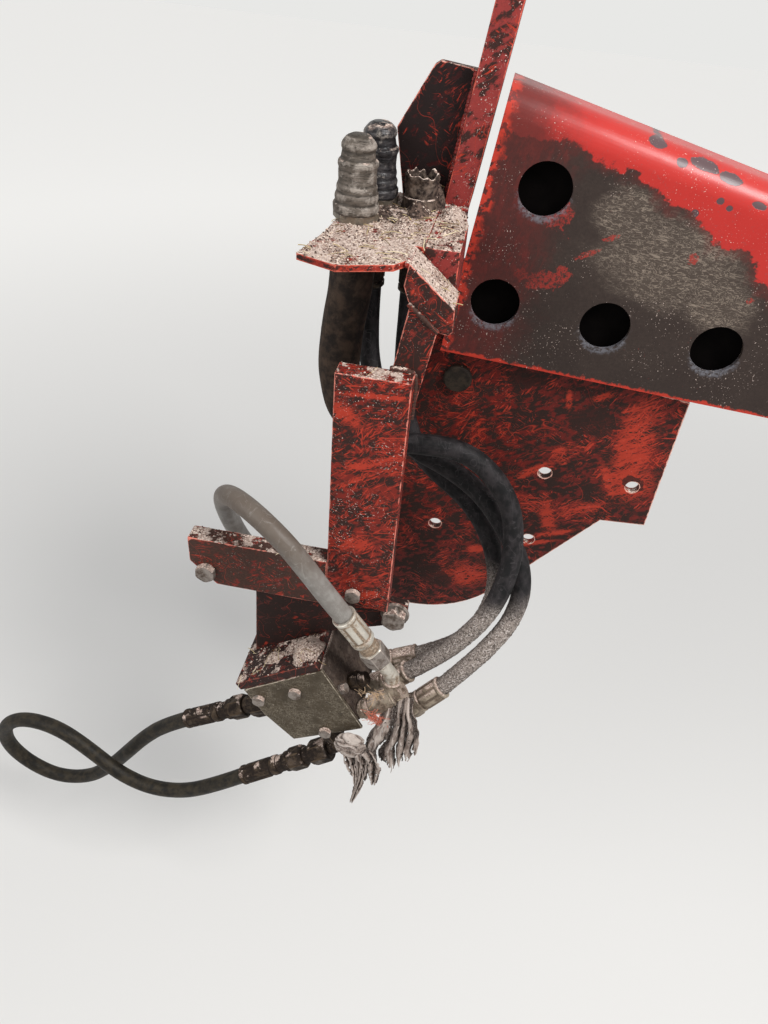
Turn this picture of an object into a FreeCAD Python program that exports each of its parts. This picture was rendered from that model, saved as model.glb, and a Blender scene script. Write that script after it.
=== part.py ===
import FreeCAD, Part
import math
import os

# Right-hand loader mounting console of a farm tractor, with its hydraulic coupling station.
# Millimetres. X runs forward along the tractor, Y inwards to its centre line, Z up.
# The origin is the centre of the chassis bolt rectangle, on the back face of the side plate.

V = FreeCAD.Vector
os.makedirs("parts", exist_ok=True)

# Chassis side plate
plate_t = 12.0
chassis_dx, chassis_dz = 138.0, 120.0
chassis_hole_d = 18.0
plate_left_x, plate_right_x = -175.0, 220.0
plate_foot_z = -222.0
plate_waist_z, plate_hip_z = 20.0, 130.0
plate_top_z, plate_nose_top_z, plate_nose_bottom_z = 235.0, 198.0, 0.0
nose_corner_x, nose_corner_drop = 160.0, 4.0
belly = [(40.0, -164.0), (-16.0, -215.0), (-90.0, -234.0)]  # x, z of the round edge's start, middle, end
spare_hole_x, spare_hole_z = 187.0, 60.0
plug_x, plug_z, plug_d, plug_h, plug_chamfer = -68.0, 185.0, 36.0, 9.0, 2.0

# Foot bar, laid inwards over the plate's tower
foot_left_x, foot_w, foot_h = -115.0, 36.0, 60.0
foot_top_z = 394.0
foot_taper, foot_taper_y = 8.0, -65.0
tower_w, tower_step = 72.0, 1.0

# Mast and its gusset
mast_t, mast_depth, mast_top_z = 28.0, 70.0, 650.0
mast_front_y, mast_inset = -22.0, 3.0
mast_lean = math.radians(7.5)
mast_chamfer = 22.0
gusset_t, gusset_front_y, gusset_h = 12.0, -5.0, 134.0
gusset_corners = [(-21.0, 138.0), (-27.0, 134.0), (-61.0, 72.0), (-48.0, 0.0)]  # x, z from the mast's foot

# Post, arm and strut of flat bar
bar_t = 25.0
post_w, post_h, post_left_x, post_top_z = 80.0, 328.0, -185.0, 282.0
post_front_y = -222.0
post_heel, post_heel_w, post_toe = 11.0, 44.0, 3.0
arm_h, arm_reach, arm_drop, arm_cut = 73.0, 178.0, 5.0, 34.0
strut_w, strut_d, strut_lap = 34.0, 40.0, 110.0
strut_inset = 72.0
strut_lean = math.radians(9.0)

# Diagonal elbow bar on top of the strut
elbow_d, elbow_t, elbow_len, elbow_nose = 47.0, 28.0, 63.0, 15.0
elbow_fall = math.radians(39.5)
elbow_overhang = 8.0

# Coupler shelf
shelf_t = 7.0
shelf_back_y = 13.0
shelf_front_corners = [(-228.0, -210.0), (-187.0, -226.0), (-136.0, -206.0)]  # x, y
shelf_left_corners = [(-207.0, shelf_back_y), (-217.0, -146.0)]  # x, y
shelf_right_y = -188.0
weld_gap = 1.5

# Pressed beam with a row of lightening holes
sheet_t = 6.0
beam_front_y = -32.0
beam_lap, beam_length = 16.0, 514.0
beam_bottom_z, beam_height = 228.0, 296.0
beam_lean = math.radians(6.9)
beam_top_fall = math.radians(13.2)
beam_bottom_fall = math.radians(3.4)
shoulder_r, top_flange_w = 30.0, 60.0
beam_hole_d, beam_hole_pitch, beam_row_count = 57.0, 129.5, 4
beam_hole_inset, beam_hole_rise, beam_row_fall = 56.0, 70.0, math.radians(4.0)
beam_upper_hole_inset, beam_upper_hole_rise = 88.0, 201.0

# Plate that closes the beam's back
beam_back_t, beam_back_inset, beam_back_gap, beam_back_drop = 4.0, 1.0, 0.3, 9.0

# Valve block, turned in its own plane and hung below the arm
block_turn = math.radians(33.5)
block_inset, block_drop = 103.0, 161.5
block_front_y = -252.0
block_w, block_h, block_d, block_bevel = 122.0, 110.0, 120.0, 16.0
block_edge = 4.0
cover_t = 5.0
cover_corners = [(0.0, 0.0), (131.0, 0.0), (123.0, 122.0), (9.0, 116.0), (-2.0, 54.0)]  # along, down
cover_bolts = [(11.0, 23.0), (71.0, 26.0), (67.0, 112.0)]  # along, down
cover_bolt_af, cover_bolt_h = 17.0, 7.0
bracket_t, bracket_left_x, bracket_top_lap = 12.0, -283.0, 59.0
flange_t, flange_lip, flange_start, flange_end = 14.0, 4.0, -6.0, 128.0

# Bolts: x from the post's left edge, z from the arm's top, size across flats
arm_bolts = {"arm_bolt": (-156.0, -51.0, 24.0), "post_bolt": (35.0, -46.0, 19.0)}
bolt_head_share = 0.42
foot_bolt_out, foot_bolt_drop, foot_bolt_af, foot_bolt_h = 8.0, 24.0, 30.0, 14.0
foot_washer_r, foot_washer_t = 19.0, 4.0

# Screw-on couplers: body, sliding collar and rubber dust cap
coupler_points = {"front": (-196.0, -93.0), "rear": (-186.0, -30.0)}  # x, y
coupler_r, coupler_h, coupler_chamfer, coupler_tail = 15.0, 58.0, 2.0, 14.0
coupler_hex_af, coupler_hex_h, coupler_nut_h = 42.0, 7.0, 10.0
coupler_bore_r, coupler_bore_depth = 10.0, 25.0
hole_clearance = 0.5
collar_r, collar_h, collar_gap, collar_rise = 17.5, 22.0, 0.3, 24.0
cap_rest_gap = 0.3
cap_top_r, cap_h = 9.0, 74.0
# radius and height of each ring of the cap, from its foot up, then of its hollow from the top down
cap_rings = [(23.5, 0.0), (24.5, 8.0), (23.0, 9.0), (22.5, 18.0), (21.5, 19.0), (21.5, 25.0), (20.2, 28.0),
             (20.0, 44.0), (20.6, 45.0), (20.6, 49.0), (17.6, 52.0), (16.6, 60.0), (18.0, 61.0), (18.0, 64.0),
             (15.0, 70.0)]
cap_hollow = [(12.5, 61.5), (14.2, 54.0), (15.6, 51.5), (15.8, 42.0), (18.1, 40.0), (18.1, 27.0), (20.0, 24.0),
              (20.0, 0.0)]
stub_x, stub_y = -137.0, -32.0
stub_r, stub_h, stub_wall, stub_foot, stub_floor = 19.0, 40.0, 4.5, 6.0, 10.0

# Hoses and their crimped ends
hose_r, side_r, grey_r = 13.0, 12.0, 13.0
ferrule_wall, ferrule_l, nut_l, stem_l, nut_wall = 3.0, 44.0, 20.0, 10.0, 2.5
stem_share, knuckle_share = 0.72, 0.42
nut_chamfer = 0.55
crimp_sides, crimp_share, crimp_groove_share = 8, 1.85, 0.88
crimp_collar, crimp_neck, crimp_lip = 0.15, 0.06, 0.09
sleeve_r, clip_w, clip_t, clip_drop, clip_gap = 25.0, 12.0, 2.5, 24.0, 0.3
screw_r, screw_l = 5.0, 24.0
port_pitch, port_depth, port_down = 42.0, 12.0, 104.0
mid_aim, inner_aim = (0.72, 0.10, 0.69), (0.90, 0.118, 0.419)

# Cross adaptor on the first port: ringed neck, body, six-sided end with a blind hole. One branch goes up to the
# grey hose, one down to the mid hose. Directions are along, down and inwards on the block
cross_root_r, cross_root_l, cross_root_lap, cross_aim = 11.5, 4.0, 3.0, (67.6, -8.9, 10.0)
cross_neck = [("round", 13.7, 5.0), ("round", 12.0, 1.5), ("round", 13.2, 8.0), ("round", 11.8, 1.5),
              ("round", 13.0, 8.0)]
cross_body = [("round", 17.0, 30.0), ("round", 17.5, 3.0), ("round", 13.5, 2.5), ("nut", 27.0, 10.0)]
cross_hole_r, cross_hole_l = 5.0, 4.0
high_branch_at, high_branch_aim, high_branch_l = 50.0, (15.0, -28.0, 7.0), 34.6
high_boss_r, high_boss_l = 11.5, 25.0
low_branch_at, low_branch_aim, low_branch_l, low_branch_r = 48.0, (2.5, 40.5, 8.7), 41.0, 11.0
low_aim, low_chain = (0.65, 0.18, 0.74), [("round", 9.5, 6.0), ("nut", 31.0, 16.0)]

# Screwed into the block's right side: down, depth, across flats, length
block_plugs = {"block_plug": (52.0, 8.0, 13.0, 9.0), "block_cartridge": (68.0, 34.0, 24.0, 27.0)}

# Fittings of the looped and the grey hose. Places are along, down and depth on the block
loop_up_at, loop_low_at, grey_left_at = (4.0, 70.0, 37.0), (56.0, 110.0, 17.0), (30.0, 45.0, 120.0)
loop_up_first = [("round", 10.0, 10.0), ("nut", 38.0, 42.0)]
loop_low_first = [("round", 9.5, 12.0), ("nut", 30.0, 26.0), ("round", 10.0, 22.0)]
loop_low_aim, loop_low_nut = (-0.81, -0.105, -0.575), [("round", 10.0, 24.0), ("nut", 34.0, 30.0)]
loop_chain = [("round", 13.0, 14.0), ("nut", 32.0, 26.0), ("round", 15.5, 8.0), ("round", 13.0, 15.0)]
loop_ferrule_l = 68.0
grey_right_aim = (-0.47, -0.167, 0.866)
grey_right_chain = [("round", 9.5, 40.0), ("nut", 31.0, 30.0), ("round", 13.5, 18.0)]
grey_left_aim, grey_left_first = (-0.45, -0.08, 0.89), [("round", 9.5, 30.0)]
grey_left_chain = [("round", 9.5, 22.0), ("nut", 31.0, 24.0)]
grey_ferrule_l = 56.0

# Shredded rag tied round the lowest fittings: hanging strips, and the knot in front. x, z from the first port
rag_t, rag_lift, knot_t, knot_gap = 17.5, 14.0, 22.5, 0.3
rag_corners = [(29.0, 15.0), (46.0, 44.0), (55.0, 58.0), (67.0, 62.0), (75.0, 30.0), (87.0, -12.0), (87.0, -38.0),
               (69.0, -28.0), (68.0, -52.0), (53.0, -82.0), (48.0, -110.0), (23.0, -145.0), (7.0, -122.0),
               (14.0, -73.0), (21.0, -34.0), (13.0, -21.0), (16.0, -3.0)]
knot_corners = [(-17.0, -16.0), (-5.0, -9.0), (5.0, -25.0), (20.0, -43.0), (19.0, -62.0), (14.0, -84.0),
                (14.0, -121.0), (10.0, -177.0), (3.0, -188.0), (5.0, -141.0), (-6.0, -97.0), (-18.0, -71.0),
                (-31.0, -61.0), (-29.0, -36.0)]


def save(name, shape):
    shape = shape.removeSplitter()
    assert shape.isValid() and shape.Solids, name
    shape.exportStep("parts/" + name + ".step")
    box = shape.BoundBox
    print("%-20s %9.0f mm3  x %6.0f %6.0f  y %6.0f %6.0f  z %6.0f %6.0f"
          % (name, shape.Volume, box.XMin, box.XMax, box.YMin, box.YMax, box.ZMin, box.ZMax))


def slab(points, y0, y1):
    """Prism over an X-Z outline, from y0 to y1."""
    wire = Part.makePolygon([V(x, y0, z) for x, z in points + points[:1]])
    return Part.Face(wire).extrude(V(0, y1 - y0, 0))


def flat(points, z0, z1):
    """Prism over an X-Y outline, from z0 to z1."""
    wire = Part.makePolygon([V(x, y, z0) for x, y in points + points[:1]])
    return Part.Face(wire).extrude(V(0, 0, z1 - z0))


def rod(start, direction, radius, length):
    return Part.makeCylinder(radius, length, start, direction)


def prism(start, direction, sides, across_flats, length):
    """Regular prism along any direction."""
    corner_r = across_flats / 2 / math.cos(math.pi / sides)
    corners = [V(corner_r * math.cos(2 * math.pi * i / sides), corner_r * math.sin(2 * math.pi * i / sides), 0)
               for i in range(sides + 1)]
    solid = Part.Face(Part.makePolygon(corners)).extrude(V(0, 0, length))
    solid.Placement = FreeCAD.Placement(start, FreeCAD.Rotation(V(0, 0, 1), direction))
    return solid


def hexagon(start, direction, across_flats, length):
    return prism(start, direction, 6, across_flats, length)


def nut(start, direction, across_flats, length, both_ends=True):
    """Six-sided prism whose corners are chamfered at its far end, or at both."""
    flat_r, corner_r = across_flats / 2, across_flats / math.sqrt(3.0)
    rise = (corner_r - flat_r) * nut_chamfer
    base = [(flat_r, 0), (corner_r, rise)] if both_ends else [(corner_r, 0)]
    cone = [(0, 0)] + base + [(corner_r, length - rise), (flat_r, length), (0, length)]
    wire = Part.makePolygon([V(r, 0, z) for r, z in cone + cone[:1]])
    limit = Part.Face(wire).revolve(V(0, 0, 0), V(0, 0, 1), 360)
    solid = prism(V(0, 0, 0), V(0, 0, 1), 6, across_flats, length).common(limit)
    solid.Placement = FreeCAD.Placement(start, FreeCAD.Rotation(V(0, 0, 1), direction))
    return solid


def crimped(start, aim, radius, length):
    """Ferrule as the press leaves it: collar, groove, eight flats, groove, rolled lip."""
    collar_l, neck_l, lip_l = length * crimp_collar, length * crimp_neck, length * crimp_lip
    pieces = [rod(start, aim, radius, collar_l)]
    pieces.append(rod(start + aim * collar_l, aim, radius * crimp_groove_share, length - collar_l - lip_l))
    flats_start = start + aim * (collar_l + neck_l)
    flats_l = length - collar_l - 2 * neck_l - lip_l
    pieces.append(prism(flats_start, aim, crimp_sides, crimp_share * radius, flats_l))
    pieces.append(rod(start + aim * (length - lip_l), aim, radius, lip_l))
    return fuse(pieces)


def turned(profile, centre_x, centre_y):
    """Solid of revolution about a vertical axis, from (radius, height) pairs."""
    wire = Part.makePolygon([V(r, 0, z) for r, z in profile + profile[:1]])
    solid = Part.Face(wire).revolve(V(0, 0, 0), V(0, 0, 1), 360)
    solid.translate(V(centre_x, centre_y, 0))
    return solid


def fuse(shapes):
    result = shapes[0]
    for shape in shapes[1:]:
        result = result.fuse(shape)
    return result.removeSplitter()


# Places that follow from the sizes above
plate_front_y = -plate_t
foot_right_x = foot_left_x + foot_w
foot_bottom_z = foot_top_z - foot_h
tower_right_x = foot_right_x + tower_step
tower_left_x = tower_right_x - tower_w
mast_foot_x = foot_left_x + mast_inset
post_right_x = post_left_x + post_w
post_bottom_z = post_top_z - post_h
arm_bottom_z = post_bottom_z - arm_drop
arm_top_z = arm_bottom_z + arm_h
arm_end_x = post_left_x - arm_reach
bar_back_y = post_front_y + bar_t
elbow_back_y = bar_back_y + elbow_d
elbow_left_x = foot_left_x - elbow_overhang
block_x = post_left_x - block_inset
block_z = arm_bottom_z - block_drop
along = V(math.cos(block_turn), 0, math.sin(block_turn))
down = V(math.sin(block_turn), 0, -math.cos(block_turn))


def on_block(u, v, y):
    """Point at u along and v down the turned block, at depth y."""
    return V(block_x, y, block_z) + along * u + down * v


def block_aim(u, v, y):
    """Direction from its shares along, down and inwards on the block."""
    return (along * u + down * v + V(0, y, 0)).normalize()


def block_slab(points, y0, y1):
    """Prism over an outline drawn in the block's own directions."""
    corners = [on_block(u, v, y0) for u, v in points]
    return Part.Face(Part.makePolygon(corners + corners[:1])).extrude(V(0, y1 - y0, 0))


# Side plate: nose to the right, round belly, tower up to the foot bar
belly_a, belly_mid, belly_b = [V(x, 0, z) for x, z in belly]
plate_corners = [belly_b, V(plate_left_x, 0, plate_foot_z), V(plate_left_x, 0, plate_waist_z),
                 V(tower_left_x, 0, plate_hip_z), V(tower_left_x, 0, foot_bottom_z),
                 V(tower_right_x, 0, foot_bottom_z), V(tower_right_x, 0, plate_top_z),
                 V(plate_right_x, 0, plate_nose_top_z), V(plate_right_x, 0, plate_nose_bottom_z),
                 V(nose_corner_x, 0, plate_nose_bottom_z - nose_corner_drop), belly_a]
plate_edges = [Part.LineSegment(a, b) for a, b in zip(plate_corners, plate_corners[1:])]
plate_edges.append(Part.Arc(belly_a, belly_mid, belly_b))
plate = Part.Face(Part.Wire([edge.toShape() for edge in plate_edges])).extrude(V(0, -plate_t, 0))
chassis_holes = [(sx * chassis_dx / 2, sz * chassis_dz / 2) for sx in (-1, 1) for sz in (-1, 1)]
for x, z in chassis_holes + [(spare_hole_x, spare_hole_z)]:
    plate = plate.cut(rod(V(x, -plate_t - 1, z), V(0, 1, 0), chassis_hole_d / 2, plate_t + 2))
save("side_plate", plate)

plug = rod(V(plug_x, plate_front_y, plug_z), V(0, -1, 0), plug_d / 2, plug_h)
rim = [edge for edge in plug.Edges if abs(edge.BoundBox.YMin - plate_front_y + plug_h) < 0.01]
save("plate_plug", plug.makeChamfer(plug_chamfer, rim[:1]))

# Foot bar
foot_narrow_x = foot_right_x - foot_taper
foot_inner_y = mast_front_y + mast_depth
save("foot_bar", flat([(foot_left_x, elbow_back_y), (foot_right_x, elbow_back_y), (foot_right_x, foot_taper_y),
                       (foot_narrow_x, mast_front_y), (foot_narrow_x, foot_inner_y), (foot_left_x, foot_inner_y)],
                      foot_bottom_z, foot_top_z))

# Mast: plate seen on its edge, leaning forward, with a chamfered tip
mast_shift = (mast_top_z - foot_top_z) * math.tan(mast_lean)
mast = slab([(mast_foot_x, foot_top_z), (mast_foot_x + mast_t, foot_top_z),
             (mast_foot_x + mast_t + mast_shift, mast_top_z), (mast_foot_x + mast_shift, mast_top_z)],
            mast_front_y, mast_front_y + mast_depth)
tip_wedge = Part.makePolygon([V(mast_foot_x - 1, y, z) for y, z in [
    (mast_front_y - 1, mast_top_z - mast_chamfer - 1), (mast_front_y - 1, mast_top_z + 1),
    (mast_front_y + mast_chamfer + 1, mast_top_z + 1), (mast_front_y - 1, mast_top_z - mast_chamfer - 1)]])
save("mast_plate", mast.cut(Part.Face(tip_wedge).extrude(V(mast_t + mast_shift + 2, 0, 0))))

gusset_edge = [(0.0, 0.0), (gusset_h * math.tan(mast_lean), gusset_h)]
save("mast_gusset", slab([(mast_foot_x + x, foot_top_z + z) for x, z in gusset_edge + gusset_corners],
                         gusset_front_y, gusset_front_y + gusset_t))

# Post and arm: flat bars in one plane
save("post", slab([(post_left_x, post_top_z), (post_right_x, post_top_z), (post_right_x, post_bottom_z),
                   (post_left_x + post_heel_w, post_bottom_z + post_toe), (post_left_x, post_bottom_z + post_heel)],
                  post_front_y, bar_back_y))
save("arm", slab([(post_left_x, arm_top_z), (arm_end_x, arm_top_z), (arm_end_x, arm_bottom_z + arm_cut),
                  (arm_end_x + arm_cut, arm_bottom_z), (post_left_x, arm_bottom_z)], post_front_y, bar_back_y))

# Elbow bar: short heavy bar falling forward, with clipped corners
fall = V(math.cos(elbow_fall), 0, -math.sin(elbow_fall))
inwards = V(-math.sin(elbow_fall), 0, -math.cos(elbow_fall))


def on_elbow(along_bar, below):
    point = V(elbow_left_x, 0, foot_top_z) + fall * along_bar + inwards * below
    return point.x, point.z


# distance along the bar's top face, and depth below it
elbow_corners = [(0.0, 0.0), (elbow_len, 0.0), (elbow_len + elbow_nose, 17.0), (elbow_len + elbow_nose, 23.0),
                 (elbow_len + 7.0, elbow_t), (26.0, elbow_t), (12.0, 20.0)]
save("elbow_bar", slab([on_elbow(a, b) for a, b in elbow_corners], bar_back_y, elbow_back_y))

# Strut, leaning inwards from the back of the post to the elbow bar's underside
under_right, under_left = on_elbow(*elbow_corners[4]), on_elbow(*elbow_corners[5])
under_slope = (under_right[1] - under_left[1]) / (under_right[0] - under_left[0])
lean = math.tan(strut_lean)


def strut_edge(side, z):
    return post_left_x + strut_inset + side * strut_w / 2 + (z - post_top_z) * lean


def strut_corner(side):
    """Where one edge of the strut meets the line of the elbow bar's underside."""
    x_at_zero = strut_edge(side, 0.0)
    z = (under_left[1] + under_slope * (x_at_zero - under_left[0])) / (1 - under_slope * lean)
    return strut_edge(side, z), z


strut_low_z = post_top_z - strut_lap
save("strut", slab([(strut_edge(-1, strut_low_z), strut_low_z), strut_corner(-1), strut_corner(1),
                    (strut_edge(1, strut_low_z), strut_low_z)], bar_back_y, bar_back_y + strut_d))

# Coupler shelf, welded to the foot bar's side
shelf_bottom_z = foot_top_z - shelf_t
notch_x = elbow_left_x - weld_gap
shelf = flat(shelf_front_corners + [(notch_x, shelf_right_y), (notch_x, elbow_back_y), (foot_left_x, elbow_back_y),
                                    (foot_left_x, shelf_back_y)] + shelf_left_corners,
             shelf_bottom_z, foot_top_z)
for x, y in list(coupler_points.values()) + [(stub_x, stub_y)]:
    shelf = shelf.cut(rod(V(x, y, shelf_bottom_z - 1), V(0, 0, 1), coupler_r + hole_clearance, shelf_t + 2))
save("coupler_shelf", shelf)

# Couplers: bulkhead body, sliding collar, rubber dust cap
body_top_z = foot_top_z + coupler_h
body_tail_z = shelf_bottom_z - coupler_tail
for name, (x, y) in coupler_points.items():
    bore_floor_z = body_top_z - coupler_bore_depth
    body = turned([(0, body_tail_z), (coupler_r, body_tail_z), (coupler_r, body_top_z - coupler_chamfer),
                   (coupler_r - coupler_chamfer, body_top_z), (coupler_bore_r, body_top_z),
                   (coupler_bore_r, bore_floor_z), (0, bore_floor_z)], x, y)
    body = body.fuse(hexagon(V(x, y, foot_top_z), V(0, 0, 1), coupler_hex_af, coupler_hex_h))
    body = body.fuse(hexagon(V(x, y, shelf_bottom_z), V(0, 0, -1), coupler_hex_af, coupler_nut_h))
    save("coupler_" + name, body)
    collar_z = foot_top_z + collar_rise
    save("collar_" + name, turned([(coupler_r + collar_gap, collar_z), (collar_r, collar_z),
                                   (collar_r, collar_z + collar_h), (coupler_r + collar_gap, collar_z + collar_h)],
                                  x, y))
    cap_z = foot_top_z + coupler_hex_h + cap_rest_gap
    outside = [(r, cap_z + h) for r, h in cap_rings] + [(cap_top_r, cap_z + cap_h), (0, cap_z + cap_h)]
    hollow = [(0, cap_z + cap_hollow[0][1])] + [(r, cap_z + h) for r, h in cap_hollow]
    save("cap_" + name, turned(outside + hollow, x, y))

# Third coupling: open stub with its torn cover
stub_in = stub_r - stub_wall
save("stub_coupling", turned([(0, foot_top_z + stub_floor), (stub_in, foot_top_z + stub_floor),
                              (stub_in, foot_top_z + stub_h - 4), (stub_r - 1, foot_top_z + stub_h),
                              (stub_r, foot_top_z + stub_foot), (stub_r + 2, foot_top_z), (coupler_r, foot_top_z),
                              (coupler_r, body_tail_z), (0, body_tail_z)], stub_x, stub_y))

# Pressed beam: a bent sheet section along the falling top edge, trimmed to its outline
beam_left_x = tower_right_x - beam_lap
beam_right_x = beam_left_x + beam_length
lean_t = math.tan(beam_lean)
top_left = V(beam_left_x + beam_height * lean_t, 0, beam_bottom_z + beam_height)
web_back_y = beam_front_y + sheet_t
bend_y = beam_front_y + shoulder_r
flange_y = beam_front_y + top_flange_w
top_dir = V(math.cos(beam_top_fall), 0, -math.sin(beam_top_fall))
top_up = V(math.sin(beam_top_fall), 0, math.cos(beam_top_fall))
web_depth = beam_height * 1.5


def section_point(y, below_top):
    start = top_left - top_dir * top_flange_w * 2 - top_up * below_top
    return V(start.x, y, start.z)


def line(a, b):
    return Part.LineSegment(section_point(*a), section_point(*b)).toShape()


def bend(radius):
    """Quarter turn between web and top flange, about the shoulder's centre."""
    diag = radius * math.sqrt(0.5)
    return Part.Arc(section_point(bend_y - radius, shoulder_r), section_point(bend_y - diag, shoulder_r - diag),
                    section_point(bend_y, shoulder_r - radius)).toShape()


profile = Part.Wire([line((beam_front_y, web_depth), (beam_front_y, shoulder_r)), bend(shoulder_r),
                     line((bend_y, 0), (flange_y, 0)), line((flange_y, 0), (flange_y, sheet_t)),
                     line((flange_y, sheet_t), (bend_y, sheet_t)), bend(shoulder_r - sheet_t),
                     line((web_back_y, shoulder_r), (web_back_y, web_depth)),
                     line((web_back_y, web_depth), (beam_front_y, web_depth))])
beam = Part.Face(profile).extrude(top_dir * beam_length * 1.5)


def beam_bottom(x):
    return beam_bottom_z - (x - beam_left_x) * math.tan(beam_bottom_fall)


over = top_flange_w
beam = beam.common(slab([(beam_left_x, beam_bottom_z), (top_left.x + over * lean_t, top_left.z + over),
                         (beam_right_x, top_left.z + over), (beam_right_x, beam_bottom(beam_right_x))],
                        beam_front_y - 1, flange_y + 1))
return_h = beam_height - shoulder_r
bottom_return = slab([(beam_left_x, beam_bottom_z), (beam_left_x + sheet_t * lean_t, beam_bottom_z + sheet_t),
                      (beam_right_x, beam_bottom(beam_right_x) + sheet_t), (beam_right_x, beam_bottom(beam_right_x))],
                     web_back_y, plate_front_y)
left_return = slab([(beam_left_x, beam_bottom_z), (beam_left_x + sheet_t, beam_bottom_z),
                    (beam_left_x + sheet_t + return_h * lean_t, beam_bottom_z + return_h),
                    (beam_left_x + return_h * lean_t, beam_bottom_z + return_h)], web_back_y, plate_front_y)
beam = fuse([beam, bottom_return, left_return])
row_x, row_z = beam_left_x + beam_hole_inset, beam_bottom_z + beam_hole_rise
beam_holes = [(row_x + i * beam_hole_pitch, row_z - i * beam_hole_pitch * math.tan(beam_row_fall))
              for i in range(beam_row_count)]
beam_holes.append((beam_left_x + beam_upper_hole_inset, beam_bottom_z + beam_upper_hole_rise))
for x, z in beam_holes:
    beam = beam.cut(rod(V(x, beam_front_y - 1, z), V(0, 1, 0), beam_hole_d / 2, sheet_t + 2))
save("holed_beam", beam)

# Its back: a plate that stands on the side plate's top edge
back_gap, back_top = beam_back_gap, top_left - V(0, 0, beam_back_drop / math.cos(beam_top_fall))
left_edge = V(beam_left_x + beam_back_inset, 0, beam_bottom_z)
fall_t = math.tan(beam_top_fall)
back_rise = (back_top.z - beam_bottom_z + (back_top.x - left_edge.x) * fall_t) / (1 + lean_t * fall_t)
back_corner = left_edge + V(back_rise * lean_t, 0, back_rise)
beam_back = slab([(left_edge.x, left_edge.z), (back_corner.x, back_corner.z),
                  (beam_right_x, back_corner.z - (beam_right_x - back_corner.x) * fall_t),
                  (beam_right_x, beam_bottom(beam_right_x))], plate_front_y, plate_front_y + beam_back_t)
plate_room = slab([(tower_left_x, plate_foot_z), (tower_left_x, foot_top_z), (tower_right_x + back_gap, foot_top_z),
                   (tower_right_x + back_gap, plate_top_z + back_gap),
                   (plate_right_x + back_gap, plate_nose_top_z + back_gap),
                   (plate_right_x + back_gap, plate_foot_z)], plate_front_y - 1, 1)
save("beam_back_plate", beam_back.cut(plate_room))

# Bracket under the arm, with a sloping flange that carries the block
block_back_y = block_front_y + block_d
bracket_back_y = bar_back_y + bracket_t
flange_left, flange_right = on_block(8, -flange_t, 0), on_block(flange_end, -flange_t, 0)
ear_x, ear_z = post_right_x + foot_bolt_out, post_bottom_z - foot_bolt_drop
ear = foot_washer_r - 3.0
save("bracket_plate", slab([(bracket_left_x, arm_bottom_z + bracket_top_lap),
                            (post_right_x - 3, arm_bottom_z + bracket_top_lap), (post_right_x - 3, ear_z + ear + 4),
                            (ear_x + ear, ear_z + ear), (ear_x + ear, ear_z - ear),
                            (flange_right.x, flange_right.z), (flange_left.x, flange_left.z)],
                           bar_back_y, bracket_back_y))
save("bracket_flange", block_slab([(flange_start, -flange_t), (flange_end, -flange_t), (flange_end, 0),
                                   (flange_start, 0)], block_front_y - flange_lip, block_back_y))

# Valve block and its cover
block_right = block_edge + block_w
save("valve_block", block_slab([(block_edge, 0), (block_right, 0), (block_right, block_h),
                                (block_edge + block_bevel, block_h), (block_edge, block_h - block_bevel)],
                               block_front_y, block_back_y))
cover_front_y = block_front_y - cover_t
save("cover_plate", block_slab(cover_corners, cover_front_y, block_front_y))
for i, (u, v) in enumerate(cover_bolts):
    head = nut(on_block(u, v, cover_front_y), V(0, -1, 0), cover_bolt_af, cover_bolt_h, False)
    save("cover_bolt_%d" % (i + 1), head)
for name, (v, depth, af, length) in block_plugs.items():
    save(name, nut(on_block(block_right, v, block_front_y + depth), along, af, length, False))

# Bolts through post, arm and bracket
for name, (dx, dz, af) in arm_bolts.items():
    place = V(post_left_x + dx, post_front_y, arm_top_z + dz)
    save(name, nut(place, V(0, -1, 0), af, af * bolt_head_share, False))
foot_bolt = nut(V(ear_x, bar_back_y - foot_washer_t, ear_z), V(0, -1, 0), foot_bolt_af, foot_bolt_h, False)
save("foot_bolt", foot_bolt.fuse(rod(V(ear_x, bar_back_y, ear_z), V(0, -1, 0), foot_washer_r, foot_washer_t)))


def stack(start, aim, pieces):
    """Round, six-sided and crimped pieces end to end along one line, and where the line ends."""
    makers = {"round": rod, "nut": nut, "ferrule": crimped}
    solids = []
    for form, size, length in pieces:
        solids.append(makers[form](start, aim, size, length))
        start = start + aim * length
    return solids, start


def fitting(name, base, out, first, aim, second):
    """First stack from its seat, a round knuckle, then the second stack. Returns the hose's mouth."""
    aim = V(*aim).normalize()
    solids, knuckle = stack(base, out, first)
    more, mouth = stack(knuckle, aim, second)
    if first and out.getAngle(aim) > 0.05:
        form, size, _ = first[-1]
        solids.append(Part.makeSphere(size if form == "round" else size * knuckle_share, knuckle))
    save(name, fuse(solids + more))
    return mouth


# Pieces of the hose ends: form, radius or size across flats, length
nut_af = 2 * (hose_r + nut_wall)
stem = ("round", hose_r * stem_share, stem_l)
swivel = ("nut", nut_af, nut_l)
ferrule = ("ferrule", hose_r + ferrule_wall, ferrule_l)
loop_ferrule = ("ferrule", side_r + ferrule_wall, loop_ferrule_l)
grey_ferrule = ("ferrule", grey_r + ferrule_wall, grey_ferrule_l)

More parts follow.
